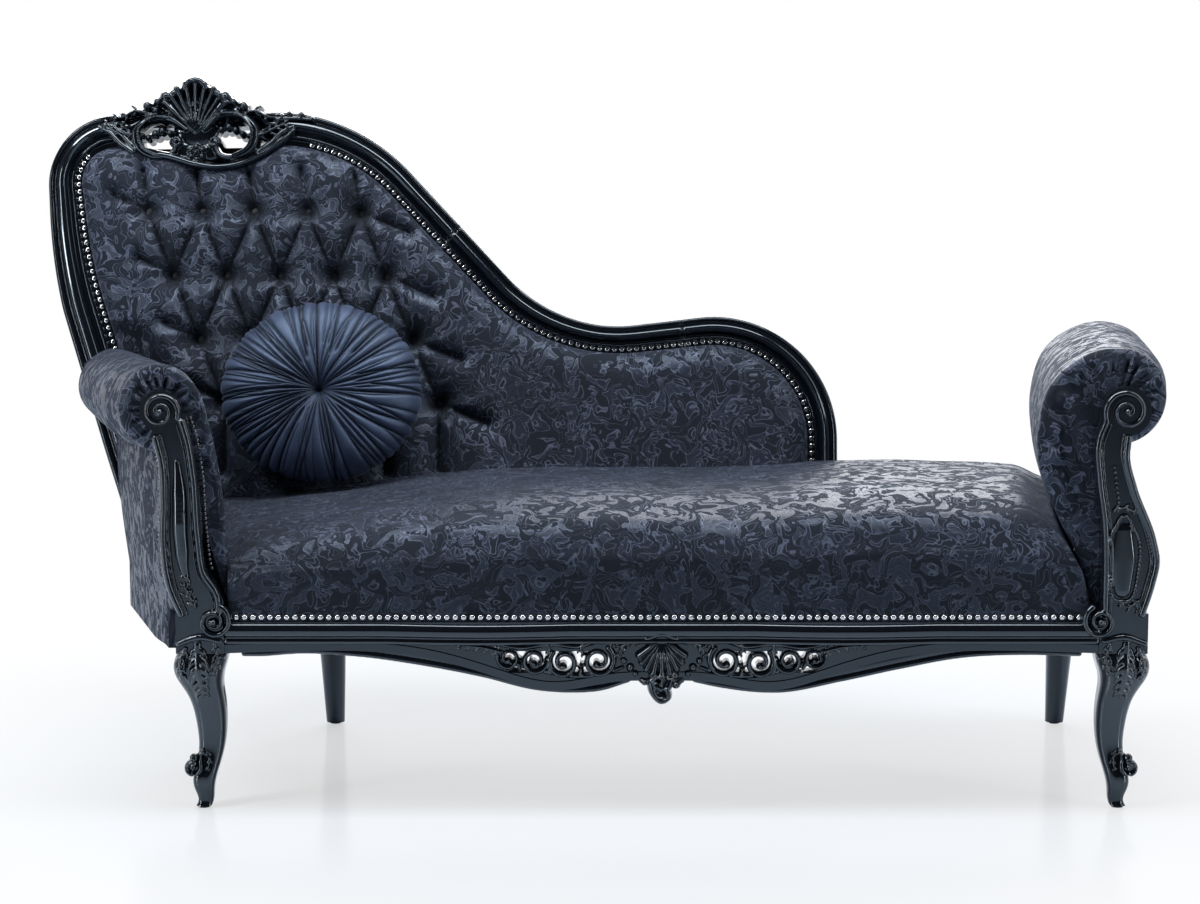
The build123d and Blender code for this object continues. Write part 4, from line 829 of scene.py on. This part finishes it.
outline = fillet_line(FRAME_CORNERS, FRAME_RADII, 0.012)
under_crest = smooth_step((0.14 - np.abs(outline[:, :1] - CREST_X)) / 0.04) * (outline[:, 1:] > 0.6)
outline = outline + left_of(outline) * (0.016 - 0.019 * under_crest)
outline = outline[outline[:, 1] > SHEET_FOOT]
foot_line = level_line(outline[-1][0], outline[0][0], SHEET_FOOT, 60)
sheet, cut, area = flat_sheet(
    "outside_back_sheet", np.vstack([outline, foot_line]),
    lambda x, t, n: back_point(x, t, -0.0425 - n), 0.006)
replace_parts(sheet, "outside_back_cover")
low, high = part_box("dust_cover")
points = [v.co.xy for v in NODES["dust_cover"].data.vertices]
corners = np.array([tuple(points[i]) for i in convex_hull_2d(points)])
sides = zip(corners, np.roll(corners, -1, 0))
outline = np.vstack([np.linspace(a, b, 30)[:-1] for a, b in sides if np.linalg.norm(b - a) > 0.002])
dust, cut, area = flat_sheet(
    "dust_sheet", outline, lambda x, y, n: np.stack([x, y, np.full_like(x, low.z) - n], -1), 0.004)
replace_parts(dust, "dust_cover")


# Loose cushion

CUSHION_LEAN = math.radians(14)
CUSHION_SHIFT = (-0.010, 0, -0.026)
CUSHION_RADIUS = 0.158
CUSHION_CROWN = 0.066
CUSHION_WIDE = 1.09
CUSHION_TALL = 0.985
PLEATS = 108


def cushion_pieces():
    low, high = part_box("cushion_cover")
    centre = np.array((low + high) / 2) + CUSHION_SHIFT
    out = np.array((0, -math.cos(CUSHION_LEAN), math.sin(CUSHION_LEAN)))
    up = np.array((0, math.sin(CUSHION_LEAN), math.cos(CUSHION_LEAN)))
    side = np.array((1.0, 0, 0))
    count = 900
    angle = np.linspace(0, TURN, count, endpoint=False)
    spokes = np.cos(angle)[:, None] * side * CUSHION_WIDE + np.sin(angle)[:, None] * up * CUSHION_TALL
    # Uneven pleats: their creases sit at jittered angles, closer together on the right
    creases = np.sort((np.arange(PLEATS) + RANDOM.uniform(-0.42, 0.42, PLEATS)) / PLEATS)
    creases = TURN * (creases + 0.05 * np.sin(TURN * creases))
    depth = RANDOM.uniform(0.35, 1.0, PLEATS)
    bend = RANDOM.uniform(-0.06, 0.06, PLEATS)
    start = np.where(RANDOM.uniform(0, 1, PLEATS) < 0.4, RANDOM.uniform(0.15, 0.5, PLEATS), 0.0)
    # Rings of the front face from its middle to the rim, then those of the rear face
    rim = np.sin(np.linspace(1.224, math.pi / 2, 14))[1:]
    profile = []
    for r in np.r_[np.linspace(0.015, 0.12, 10), np.linspace(0.135, 0.94, 60), rim]:
        dip = 1 - 0.62 * math.exp(-((r / 0.13) ** 1.2))
        profile.append((r, math.sqrt(max(0.0, 1 - r**2.7)) * dip, 1))
    profile += [(r, -h, -1) for r, h, _ in profile[-2::-1]]
    verts, uv, painted_shade = [], [], []
    for r, h, face in profile:
        swirl = angle[:, None] - creases - bend * r * 4
        swirl = np.abs((swirl + math.pi) % TURN - math.pi)
        sharp = np.exp(-((swirl * r * CUSHION_RADIUS / 0.0027) ** 0.85))
        fold = (depth * smooth_step((r - start + 0.02) / 0.1) * sharp).max(1)
        amount = 0.0105 * smooth_step((r - 0.03) / 0.22)
        steep = math.sqrt(max(0.0, 1 - r**6))
        height = h * CUSHION_CROWN - face * amount * fold * steep
        ring = CUSHION_RADIUS * r - amount * fold * (1 - steep) * 0.8
        verts.append(centre + ring[:, None] * spokes + height[:, None] * out)
        uv.append(np.stack([angle * CUSHION_RADIUS, np.full(count, r * CUSHION_RADIUS)], 1))
        # Painted shade in the pleats and in the dimple at the middle.
        painted_shade.append(np.maximum(fold, 1 - r / 0.09))
    faces = tube_faces(len(profile), count, 0, True)
    body = build(
        "cushion_pleated", np.vstack(verts), faces, SATIN, "cushion", np.vstack(uv),
        np.concatenate(painted_shade))
    # Covered buttons sunk in the middle of both faces
    dome = np.linspace(0.02, math.pi * 0.6, 10)
    across, above, rise = (axis[..., None] for axis in button(0.009, 0.006, dome, 8))
    knobs, shells = [], []
    for face in (-1, 1):
        shells += tube_faces(len(dome), BUTTON_SIDES, len(knobs) * across.size, face > 0)
        spot = centre + across * side + above * up + face * (CUSHION_CROWN * 0.33 + rise) * out
        knobs.append(spot.reshape(-1, 3))
    return body, build("cushion_knobs", np.vstack(knobs), shells, SATIN, "cushion")


pleated, knobs = cushion_pieces()
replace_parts(pleated, "cushion_cover", "cushion_filling", "cushion_piping")
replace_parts(knobs, "cushion_buttons")


# Carving: rows of round marks (across, up, half width, height), the highest mark winning at each place

CARVE_STEP = 0.0014
CREST_STEP = 0.0016
LOBE_TURN = math.radians(48)


def stroke(points, widths, heights):
    """Marks along a smooth line, in millimetres."""
    points = np.asarray(points, float)
    run = steps_along(points)[-1]
    count = max(3, int(run / (0.28 * max(0.8, min(np.mean(widths), 6.0)))))
    line = curve(points, count) if len(points) > 2 else evenly(points, count)
    share = np.linspace(0, 1, count)
    w = np.interp(share, np.linspace(0, 1, len(widths)), widths)
    h = np.interp(share, np.linspace(0, 1, len(heights)), heights)
    return np.column_stack([line, w, h])


def beads(*rows):
    """Single marks."""
    return np.array(rows, float)


def spiral(x, y, outer, inner, start, turns, widths, heights):
    """A volute curling in from outer to inner radius; start in degrees, turns positive anticlockwise."""
    a = np.radians(start) + np.linspace(0, TURN * turns, 60)
    r = np.linspace(outer, inner, 60)
    return stroke(np.column_stack([x + r * np.cos(a), y + r * np.sin(a)]), widths, heights)


def fan(x, y, reach, start, end, widths, heights):
    """Ribs of a shell, each with its own reach, between two angles in degrees."""
    angles = np.radians(np.linspace(start, end, len(reach)))
    tips = [(x + r * math.cos(a), y + r * math.sin(a)) for a, r in zip(angles, reach)]
    return np.vstack([stroke([(x, y), tip], widths, heights) for tip in tips])


def leaf(points, width, height, lobes):
    """An acanthus leaf: a midrib with lobes that curl out on both sides."""
    spine = curve(points, 60)
    marks = [stroke(points, (0.35 * width, 0.3 * width, 0.08 * width), (height, height, 0.6 * height))]
    for share in np.linspace(0.06, 0.86, lobes):
        i = int(share * 59)
        d = spine[min(i + 1, 59)] - spine[max(i - 1, 0)]
        d = d / np.linalg.norm(d)
        grow = width * (1.05 - 0.75 * abs(share - 0.3))
        for a in (-LOBE_TURN, LOBE_TURN):
            e = np.array((d[0] * math.cos(a) - d[1] * math.sin(a), d[0] * math.sin(a) + d[1] * math.cos(a)))
            lobe = [spine[i], spine[i] + 0.55 * e * grow, spine[i] + e * grow + d * 0.25 * grow]
            widths = (0.22 * width, 0.26 * width, 0.1 * width)
            marks.append(stroke(lobe, widths, (0.7 * height, 0.85 * height, 0.5 * height)))
    return np.vstack(marks)


def mirrored(marks):
    return marks * (-1, 1, 1, 1)


def carve(name, marks, place, step, thick, node=None):
    """A carved piece from marks in millimetres; place(across, up, height) gives its points in metres."""
    marks = np.vstack(marks) / 1000
    low = (marks[:, :2] - marks[:, 2:3]).min(0) - 2 * step
    high = (marks[:, :2] + marks[:, 2:3]).max(0) + 2 * step
    size = np.ceil((high - low) / step).astype(int) + 1
    level = np.full(size, -1.0)
    rise = np.zeros(size)
    for x, y, w, h in marks:
        i0, j0 = np.maximum(((np.array((x, y)) - w - low) / step).astype(int) - 1, 0)
        i1, j1 = np.minimum(((np.array((x, y)) + w - low) / step).astype(int) + 3, size)
        gx = low[0] + np.arange(i0, i1) * step
        gy = low[1] + np.arange(j0, j1) * step
        d = np.hypot(gx[:, None] - x, gy[None] - y)
        patch = np.s_[i0:i1, j0:j1]
        level[patch] = np.maximum(level[patch], w - d)
        rise[patch] = np.maximum(rise[patch], h * np.sqrt(np.clip(1 - (d / w) ** 2, 0, 1)))
    keep = level > 0
    number = -np.ones(size, int)
    number[keep] = np.arange(keep.sum())
    flat = [(low[0] + a * step, low[1] + b * step, rise[a, b]) for a, b in zip(*np.nonzero(keep))]
    cuts = {}

    def cut(a, b):
        """Number of the point where the outline crosses the edge between two places of the grid."""
        key = (a, b) if a < b else (b, a)
        if key not in cuts:
            f, g = level[key[0]], level[key[1]]
            p = np.array(key[0]) + f / (f - g) * (np.array(key[1]) - np.array(key[0]))
            cuts[key] = len(flat)
            flat.append((low[0] + p[0] * step, low[1] + p[1] * step, 0.0))
        return cuts[key]

    faces = []
    some = keep[:-1, :-1] | keep[1:, :-1] | keep[:-1, 1:] | keep[1:, 1:]
    for a, b in zip(*np.nonzero(some)):
        ring = ((a, b), (a + 1, b), (a + 1, b + 1), (a, b + 1))
        for tri in ((ring[0], ring[1], ring[2]), (ring[0], ring[2], ring[3])):
            poly = []
            for p, q in zip(tri, tri[1:] + tri[:1]):
                if keep[p]:
                    poly.append(int(number[p]))
                if keep[p] != keep[q]:
                    poly.append(cut(p, q))
            if len(poly) > 2:
                faces.append(tuple(poly))
    across, up, height = np.array(flat).T
    verts = np.vstack([place(across, up, height), place(across, up, np.full(len(flat), -thick))])
    obj = build(name, verts, thicken(faces, len(flat)), BLACK)
    if node:
        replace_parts(obj, node)


# Crest: across from its middle, up the raked plane, in millimetres

CREST_FOOT = (
    (-160, 754), (-131, 738), (-105, 713), (-76, 704), (-44, 697), (0, 684), (32, 679), (78, 685), (116, 702),
    (149, 724), (171, 745))


def crest_half(lift):
    """Scroll, leaves and beads of the right half, its top raised by lift."""
    scroll = [(44, 770 + lift), (82, 768 + lift), (105, 744 + lift), (98, 712), (70, 697)]
    whole = [(16, 746), *scroll, (42, 702), (33, 720)]
    return np.vstack([
        stroke(whole, (5, 9, 10, 9, 9, 8, 7, 6), (20, 28, 30, 28, 26, 24, 22, 20)),
        stroke([(x * 0.93, y + 2) for x, y in scroll], (3, 3.5, 3), (32, 34, 30)),
        spiral(33, 722, 9, 3, 0, 1.2, (5, 4), (24, 26)),
        beads((58, 750, 9, 26), (70, 745, 8, 25), (82, 738, 7, 24), (45, 746, 7, 24)) + (0, lift, 0, 0),
        leaf([(92, 735), (120, 738), (146, 752), (166, 757)], 15, 22, 5),
        leaf([(78, 772), (104, 778), (128, 768), (150, 768)], 13, 20, 4),
        leaf([(30, 770), (44, 790), (52, 806)], 15, 26, 4),
        stroke([(110, 706), (132, 722), (150, 741), (170, 752)], (8, 7, 5), (22, 20, 12)),
        beads((38, 808, 10, 28), (52, 803, 12, 30), (66, 794, 9, 26), (84, 787, 10, 27), (70, 779, 9, 24)),
    ])


def crest_marks():
    petals = np.radians(60 * np.arange(6) + 30)
    return [
        beads((0, 752, 40, 12), (-52, 776, 22, 10), (54, 778, 22, 10), (-20, 708, 20, 10), (22, 706, 20, 10)),
        fan(0, 740, (74, 79, 83, 86, 88, 86, 83, 79, 74), 136, 44, (2.5, 5.5, 7.5), (14, 24, 31)),
        stroke([(-19, 817), (-9, 828), (9, 828), (19, 817)], (8, 10, 8), (30, 36, 30)),
        mirrored(crest_half(-7)), crest_half(0),
        stroke(CREST_FOOT, (5, 8, 9, 9, 9, 8, 5), (16, 22, 24, 26, 24, 22, 16)),
        beads(*((2 + 11 * math.cos(a), 704 + 11 * math.sin(a), 7.5, 24) for a in petals)),
        beads((2, 704, 6, 32), (2, 684, 8, 26)),
        beads((150, 770, 6, 16), (163, 775, 5.5, 15), (184, 773, 6.5, 15), (203, 766, 5, 12)),
        stroke([(140, 764), (170, 766), (206, 764)], (6, 5, 3), (14, 13, 8)),
        stroke([(-128, 758), (-150, 756), (-170, 752)], (6, 5, 3), (14, 13, 8)),
    ]


def on_crest(x, t, h):
    return back_point(x - 0.801, t - 0.004, 0.014 + h)


carve("crest_carving", crest_marks(), on_crest, CREST_STEP, 0.034, "back_crest")


# Apron: across from the seat's middle, height over the floor

APRON_LEFT = (
    (-640, 247), (-616, 247), (-555, 251), (-463, 246), (-371, 233), (-278, 215), (-186, 193), (-140, 190),
    (-94, 193), (-52, 206))
APRON_RIGHT = (
    (52, 206), (90, 198), (182, 190), (274, 207), (366, 227), (458, 244), (550, 249), (640, 247))
APRON_TOP = ((62, 262), (92, 268), (130, 258), (170, 262), (215, 256), (262, 262), (300, 258))
APRON_FOOT = ((60, 226), (88, 216), (118, 212), (150, 214), (190, 222), (228, 232), (262, 246))


def apron_marks():
    half = np.vstack([
        stroke(APRON_TOP, (5, 6, 5, 5, 5, 4, 2), (7, 9, 8, 8, 8, 6, 3)),
        stroke(APRON_FOOT, (4, 5, 5, 5, 4, 3), (7, 8, 8, 7, 6, 4)),
        spiral(97, 236, 25, 8, 130, 1.45, (6, 4.5, 3.5), (11, 15, 16)),
        spiral(150, 233, 23, 7, 40, -1.4, (5.5, 4.5, 3.5), (11, 15, 16)),
        spiral(195, 236, 20, 6, 175, 1.5, (5, 4, 3), (10, 14, 15)),
        spiral(235, 240, 17, 6, 20, -1.35, (4.5, 3.5, 3), (9, 12, 13)),
        beads((100, 229, 5.5, 17), (151, 227, 5, 17), (196, 231, 4.5, 15), (234, 236, 4, 13)),
        leaf([(122, 262), (124, 252), (120, 243)], 8, 11, 3),
        leaf([(174, 262), (172, 252), (175, 246)], 7, 10, 3),
        leaf([(246, 250), (276, 257), (318, 259)], 12, 9, 5),
        leaf([(123, 214), (124, 222), (122, 230)], 7, 11, 3),
        leaf([(172, 216), (173, 224), (171, 232)], 7, 10, 3),
        leaf([(217, 222), (218, 230), (216, 238)], 6, 9, 3),
        leaf([(30, 270), (56, 262), (70, 240)], 13, 12, 4),
        stroke([(22, 276), (50, 280), (74, 270), (80, 256)], (6, 6, 4), (11, 12, 9)),
        beads((48, 226, 7, 14), (40, 216, 6, 14), (58, 236, 6, 13), (30, 206, 6, 14)),
    ])
    marks = [
        half, mirrored(half), beads((0, 244, 34, 8)),
        fan(0, 272, (44, 48, 52, 55, 57, 55, 52, 48, 44), 218, 322, (2.5, 5, 7), (10, 17, 20)),
        stroke([(-22, 272), (0, 279), (22, 272)], (7, 8, 7), (14, 17, 14)),
        spiral(-4, 206, 13, 4, 60, -1.3, (7, 6, 5), (18, 24, 26)),
        stroke([(-16, 206), (-12, 188), (0, 176), (10, 182), (6, 194)], (8, 8, 7, 6), (22, 26, 28, 26)),
        stroke([(-14, 216), (-6, 198), (8, 196), (14, 208)], (8, 9, 7), (20, 24, 20)),
        beads((0, 180, 8, 27), (22, 200, 8, 20), (-26, 204, 7, 18), (-2, 194, 10, 24), (20, 214, 8, 18)),
    ]
    for edge in (APRON_LEFT, APRON_RIGHT):
        marks.append(stroke(edge, (5,), (8,)))
        marks.append(stroke([(x, z + 11) for x, z in edge], (11,), (4,)))
    return marks


def on_apron(x, z, h):
    return np.stack([SEAT_X + x, APRON_Y - h, z], -1)


carve("apron_scrolls", apron_marks(), on_apron, CARVE_STEP, 0.024, "apron_carving")


# Facings of the arm posts and fronts of the legs: outwards from the leg's middle, height over the floor

FACING_FOOT = 310
FACING_HEIGHT = 311
FACING_THICK = 0.004
LEFT_OUTER = ((33, 0.0), (50, 0.14), (58, 0.35), (56, 0.55), (58, 0.75), (66, 0.86))
LEFT_INNER = ((16, 0.96), (8, 0.87), (0, 0.7), (-6, 0.38), (-14, 0.2), (-34, 0.09), (-36, 0.0))
RIGHT_OUTER = ((32, 0.0), (46, 0.15), (52, 0.26), (46, 0.36), (14, 0.62), (2, 0.77), (4, 0.86))
RIGHT_INNER = ((-40, 0.96), (-50, 0.87), (-48, 0.67), (-39, 0.46), (-36, 0.25), (-36, 0.0))


def facing_line(points, count):
    """A smooth border of a facing, from points with shares of its height."""
    return curve([(o, s * FACING_HEIGHT) for o, s in points], count) + (0, FACING_FOOT)


def facing_marks(outer, inner, volute, radius, foot):
    """Borders and volutes of one facing, and the line midway between the borders."""
    outside, within = facing_line(outer, 80), facing_line(inner[::-1], 80)
    marks = []
    for line, toward in ((outside, within), (within, outside)):
        step = unit(toward - line)
        marks.append(stroke(line + step * 6, (6,), (9,)))
        marks.append(stroke(line + step * 14.5, (2.4,), (5,)))
    marks.append(spiral(volute, 621, radius - 5, 5, 200, -1.75, (5.5, 5, 4), (8, 10, 12)))
    marks.append(spiral(foot, 298, 25, 5, 120, 1.7, (5.5, 5, 4), (8, 10, 11)))
    marks.append(beads((volute, 621, 7, 15), (foot, 298, 6.5, 13)))
    return marks, 0.5 * (outside + within)


def on_facing(key):
    arm = ARMS[key]
    return lambda x, z, h: np.stack([arm["x"] + arm["side"] * x, BLOCK_Y - h, z], -1)


marks, middle = facing_marks(LEFT_OUTER, LEFT_INNER, 53, 32, -22)
marks.append(stroke(middle[14:66], (4, 11, 12, 11, 5), (4, 9, 11, 9, 4)))
marks.append(leaf([(6, 322), (16, 340), (22, 372)], 12, 8, 4))
marks.append(leaf([(20, 470), (24, 450), (22, 430)], 7, 10, 3))
carve("left_facing_carving", marks, on_facing("left"), CARVE_STEP, FACING_THICK)

marks, _ = facing_marks(RIGHT_OUTER, RIGHT_INNER, -4, 38, -37)
for a in np.linspace(0, TURN, 60)[:-1]:
    wave = 1 + 0.05 * math.sin(5 * a)
    marks.append(beads((-4 + 25 * wave * math.cos(a), 393 + 66 * wave * math.sin(a), 3.6, 8)))
panel = np.linspace(348, 438, 24)
widths = np.interp(panel, (348, 393, 438), (13, 19, 13))
marks.append(beads(*((-4, z, w, 4.5) for z, w in zip(panel, widths))))
marks.append(beads(*((-12 - 0.14 * (z - 474), z, 3.4, 7) for z in np.linspace(474, 536, 9))))
marks.append(leaf([(-20, 470), (-4, 474), (14, 466)], 9, 9, 3))
marks.append(leaf([(20, 330), (6, 322), (-8, 326)], 10, 9, 3))
carve("right_facing_carving", marks, on_facing("right"), CARVE_STEP, FACING_THICK)


def on_front(node):
    """Places points on the front of a CAD node by looking at it from the front."""
    tree = node_tree(node)

    def place(x, z, h):
        y = []
        for a, b in zip(x, z):
            hit = tree.ray_cast(Vector((a, -0.8, b)), Vector((0, 1, 0)))[0]
            if hit is None:
                hit = tree.find_nearest(Vector((a, -0.37, b)))[0]
            y.append(hit.y)
        return np.stack([x, np.array(y) - h, z], -1)

    return place


LEG_MARKS = np.vstack([
    leaf([(4, 262), (2, 226), (-2, 178)], 20, 7, 6),
    leaf([(22, 256), (30, 236), (26, 208)], 12, 7, 4),
    leaf([(-22, 262), (-26, 240), (-18, 214)], 11, 6, 4),
    stroke([(-30, 268), (0, 274), (32, 264)], (5, 6, 5), (6, 8, 6)),
    spiral(18, 66, 14, 4, 90, 1.4, (5, 4.5, 3.5), (6, 8, 9)),
    beads((18, 66, 5, 10)),
    leaf([(2, 92), (8, 82), (16, 78)], 8, 7, 3),
    leaf([(-4, 90), (-8, 76), (-4, 60)], 7, 6, 3),
])
for node, marks, x in (
        ("front_left_leg", mirrored(LEG_MARKS), LEFT_X), ("front_right_leg", LEG_MARKS, RIGHT_X)):
    carve(node + "_carving", [marks + (x * 1000, 0, 0, 0)], on_front(node), CARVE_STEP, 0.008)


# Dark nails beside the left facing

NAIL_RADIUS = 0.0028
NAIL_SIDES = 10
NAIL_RINGS = 4


def nail_row(name, line, y):
    """Round nail heads at places across and up, each of some rings and a tip."""
    up = np.arange(NAIL_RINGS)[:, None] * math.pi / (2 * NAIL_RINGS)
    turn = np.arange(NAIL_SIDES) * TURN / NAIL_SIDES
    ring = NAIL_RADIUS * np.cos(up)
    rise = np.broadcast_to(-0.7 * NAIL_RADIUS * np.sin(up), (NAIL_RINGS, NAIL_SIDES))
    head = np.stack([ring * np.cos(turn), rise, ring * np.sin(turn)], -1).reshape(-1, 3)
    head = np.vstack([head, (0, -0.7 * NAIL_RADIUS, 0)])
    faces = []
    for k in range(len(line)):
        tip = (k + 1) * len(head) - 1
        last = tip - NAIL_SIDES
        faces += [f[::-1] for f in ring_faces(NAIL_RINGS, NAIL_SIDES, k * len(head))]
        faces += [(last + b, tip, last + (b + 1) % NAIL_SIDES) for b in range(NAIL_SIDES)]
    return build(name, np.vstack([head + (x, y, z) for x, z in line]), faces, DARK_NAIL)


spots = np.vstack([
    evenly(facing_line(LEFT_OUTER, 60)[8:] + (4.5, 0), 34),
    evenly(facing_line(LEFT_INNER, 60)[:-14] - (4.5, 0), 34)])
nail_row("left_facing_nails", spots / 1000 * (-1, 1) + (LEFT_X, 0), ARM_Y - 0.003)


# Camera, light and floor

CAMERA_PLACE = (0.0105, -4.2775, 1.0395)
CAMERA_TILT = math.radians(83)
FLOOR_EDGE = 9
FLOOR_COLOUR = (0.62, 0.69, 0.78, 1)
WHITE = (1, 1, 1, 1)
# Place of each light, the point that it faces, its width and height, and its power in watts
LIGHTS = {
    "key": ((-2.8, -1.5, 3.9), (0, 0, 0.5), (0.9, 1.4), 70),
    "fill": ((2.8, -0.9, 3.0), (0, 0, 0.5), (0.7, 1.8), 16),
    "overhead": ((0, -0.4, 2.9), (0, 0, 0.4), (2.6, 0.8), 66),
    "left_strip": ((-3.4, -2.1, 1.2), (0, 0, 0.6), (0.3, 2.4), 40),
    "right_strip": ((3.4, -2.0, 1.2), (0, 0, 0.5), (0.3, 2.4), 32),
    "rear": ((0, 2.8, 2.0), (0, 0, 0.5), (3.4, 1.2), 80),
}

camera = add("camera", bpy.data.cameras.new("camera"))
camera.location = CAMERA_PLACE
camera.rotation_euler = (CAMERA_TILT, 0, 0)
camera.data.lens = 78
camera.data.sensor_width = 36
bpy.context.scene.camera = camera

for name, (place, target, size, power) in LIGHTS.items():
    lamp = bpy.data.lights.new(name, "AREA")
    lamp.shape = "RECTANGLE"
    lamp.size, lamp.size_y = size
    lamp.energy = power
    light = add(name, lamp)
    light.location = place
    light.rotation_euler = (Vector(target) - Vector(place)).to_track_quat("-Z", "Y").to_euler()

# The world is white behind the object and for the camera, and dim on the camera's side
world = bpy.data.worlds.new("world")
bpy.context.scene.world = world
world.use_nodes = True
sky = world.node_tree
path = put(sky, "LightPath")
seen = maths(sky, "MAXIMUM", path.outputs["Is Camera Ray"], path.outputs["Is Transmission Ray"])
heading = put(sky, "SeparateXYZ", {0: put(sky, "TexCoord").outputs["Generated"]}).outputs[1]
behind = remap(sky, heading, -0.25, 0.8, 0.03, 0.8)
wire(sky, sky.nodes["Background"], {0: WHITE, 1: maths(sky, "MAXIMUM", seen, behind)})

# The floor fades to white away from the object, where the camera sees it
floor_mesh = bpy.data.meshes.new("floor")
corners = [(x * FLOOR_EDGE, y * FLOOR_EDGE, 0) for x, y in ((-1, -1), (1, -1), (1, 1), (-1, 1))]
floor_mesh.from_pydata(corners, [], [(0, 1, 2, 3)])
floor = add("floor", floor_mesh)
floor.location.z = -0.0005
floor_look, tree, bsdf = node_material("floor")
wire(tree, bsdf, {"Base Color": FLOOR_COLOUR, "Roughness": 0.14})
flat = vector_maths(tree, "MULTIPLY", put(tree, "NewGeometry").outputs["Position"], (0.9, 1.0, 0.0))
far = put(tree, "VectorMath", {0: flat}, operation="LENGTH").outputs["Value"]
fade = {0: far, 1: 0.5, 2: 1.5, 3: 0.56, 4: 1.0}
far = put(tree, "MapRange", fade, interpolation_type="SMOOTHSTEP").outputs[0]
white = maths(tree, "MULTIPLY", far, put(tree, "LightPath").outputs["Is Camera Ray"])
glow = put(tree, "Emission", {0: WHITE, 1: 1.0}).outputs[0]
faded = put(tree, "MixShader", {0: white, 1: bsdf.outputs[0], 2: glow}).outputs[0]
wire(tree, tree.nodes["Material Output"], {0: faded})
floor_mesh.materials.append(floor_look)

bpy.context.scene.view_settings.view_transform = "Standard"
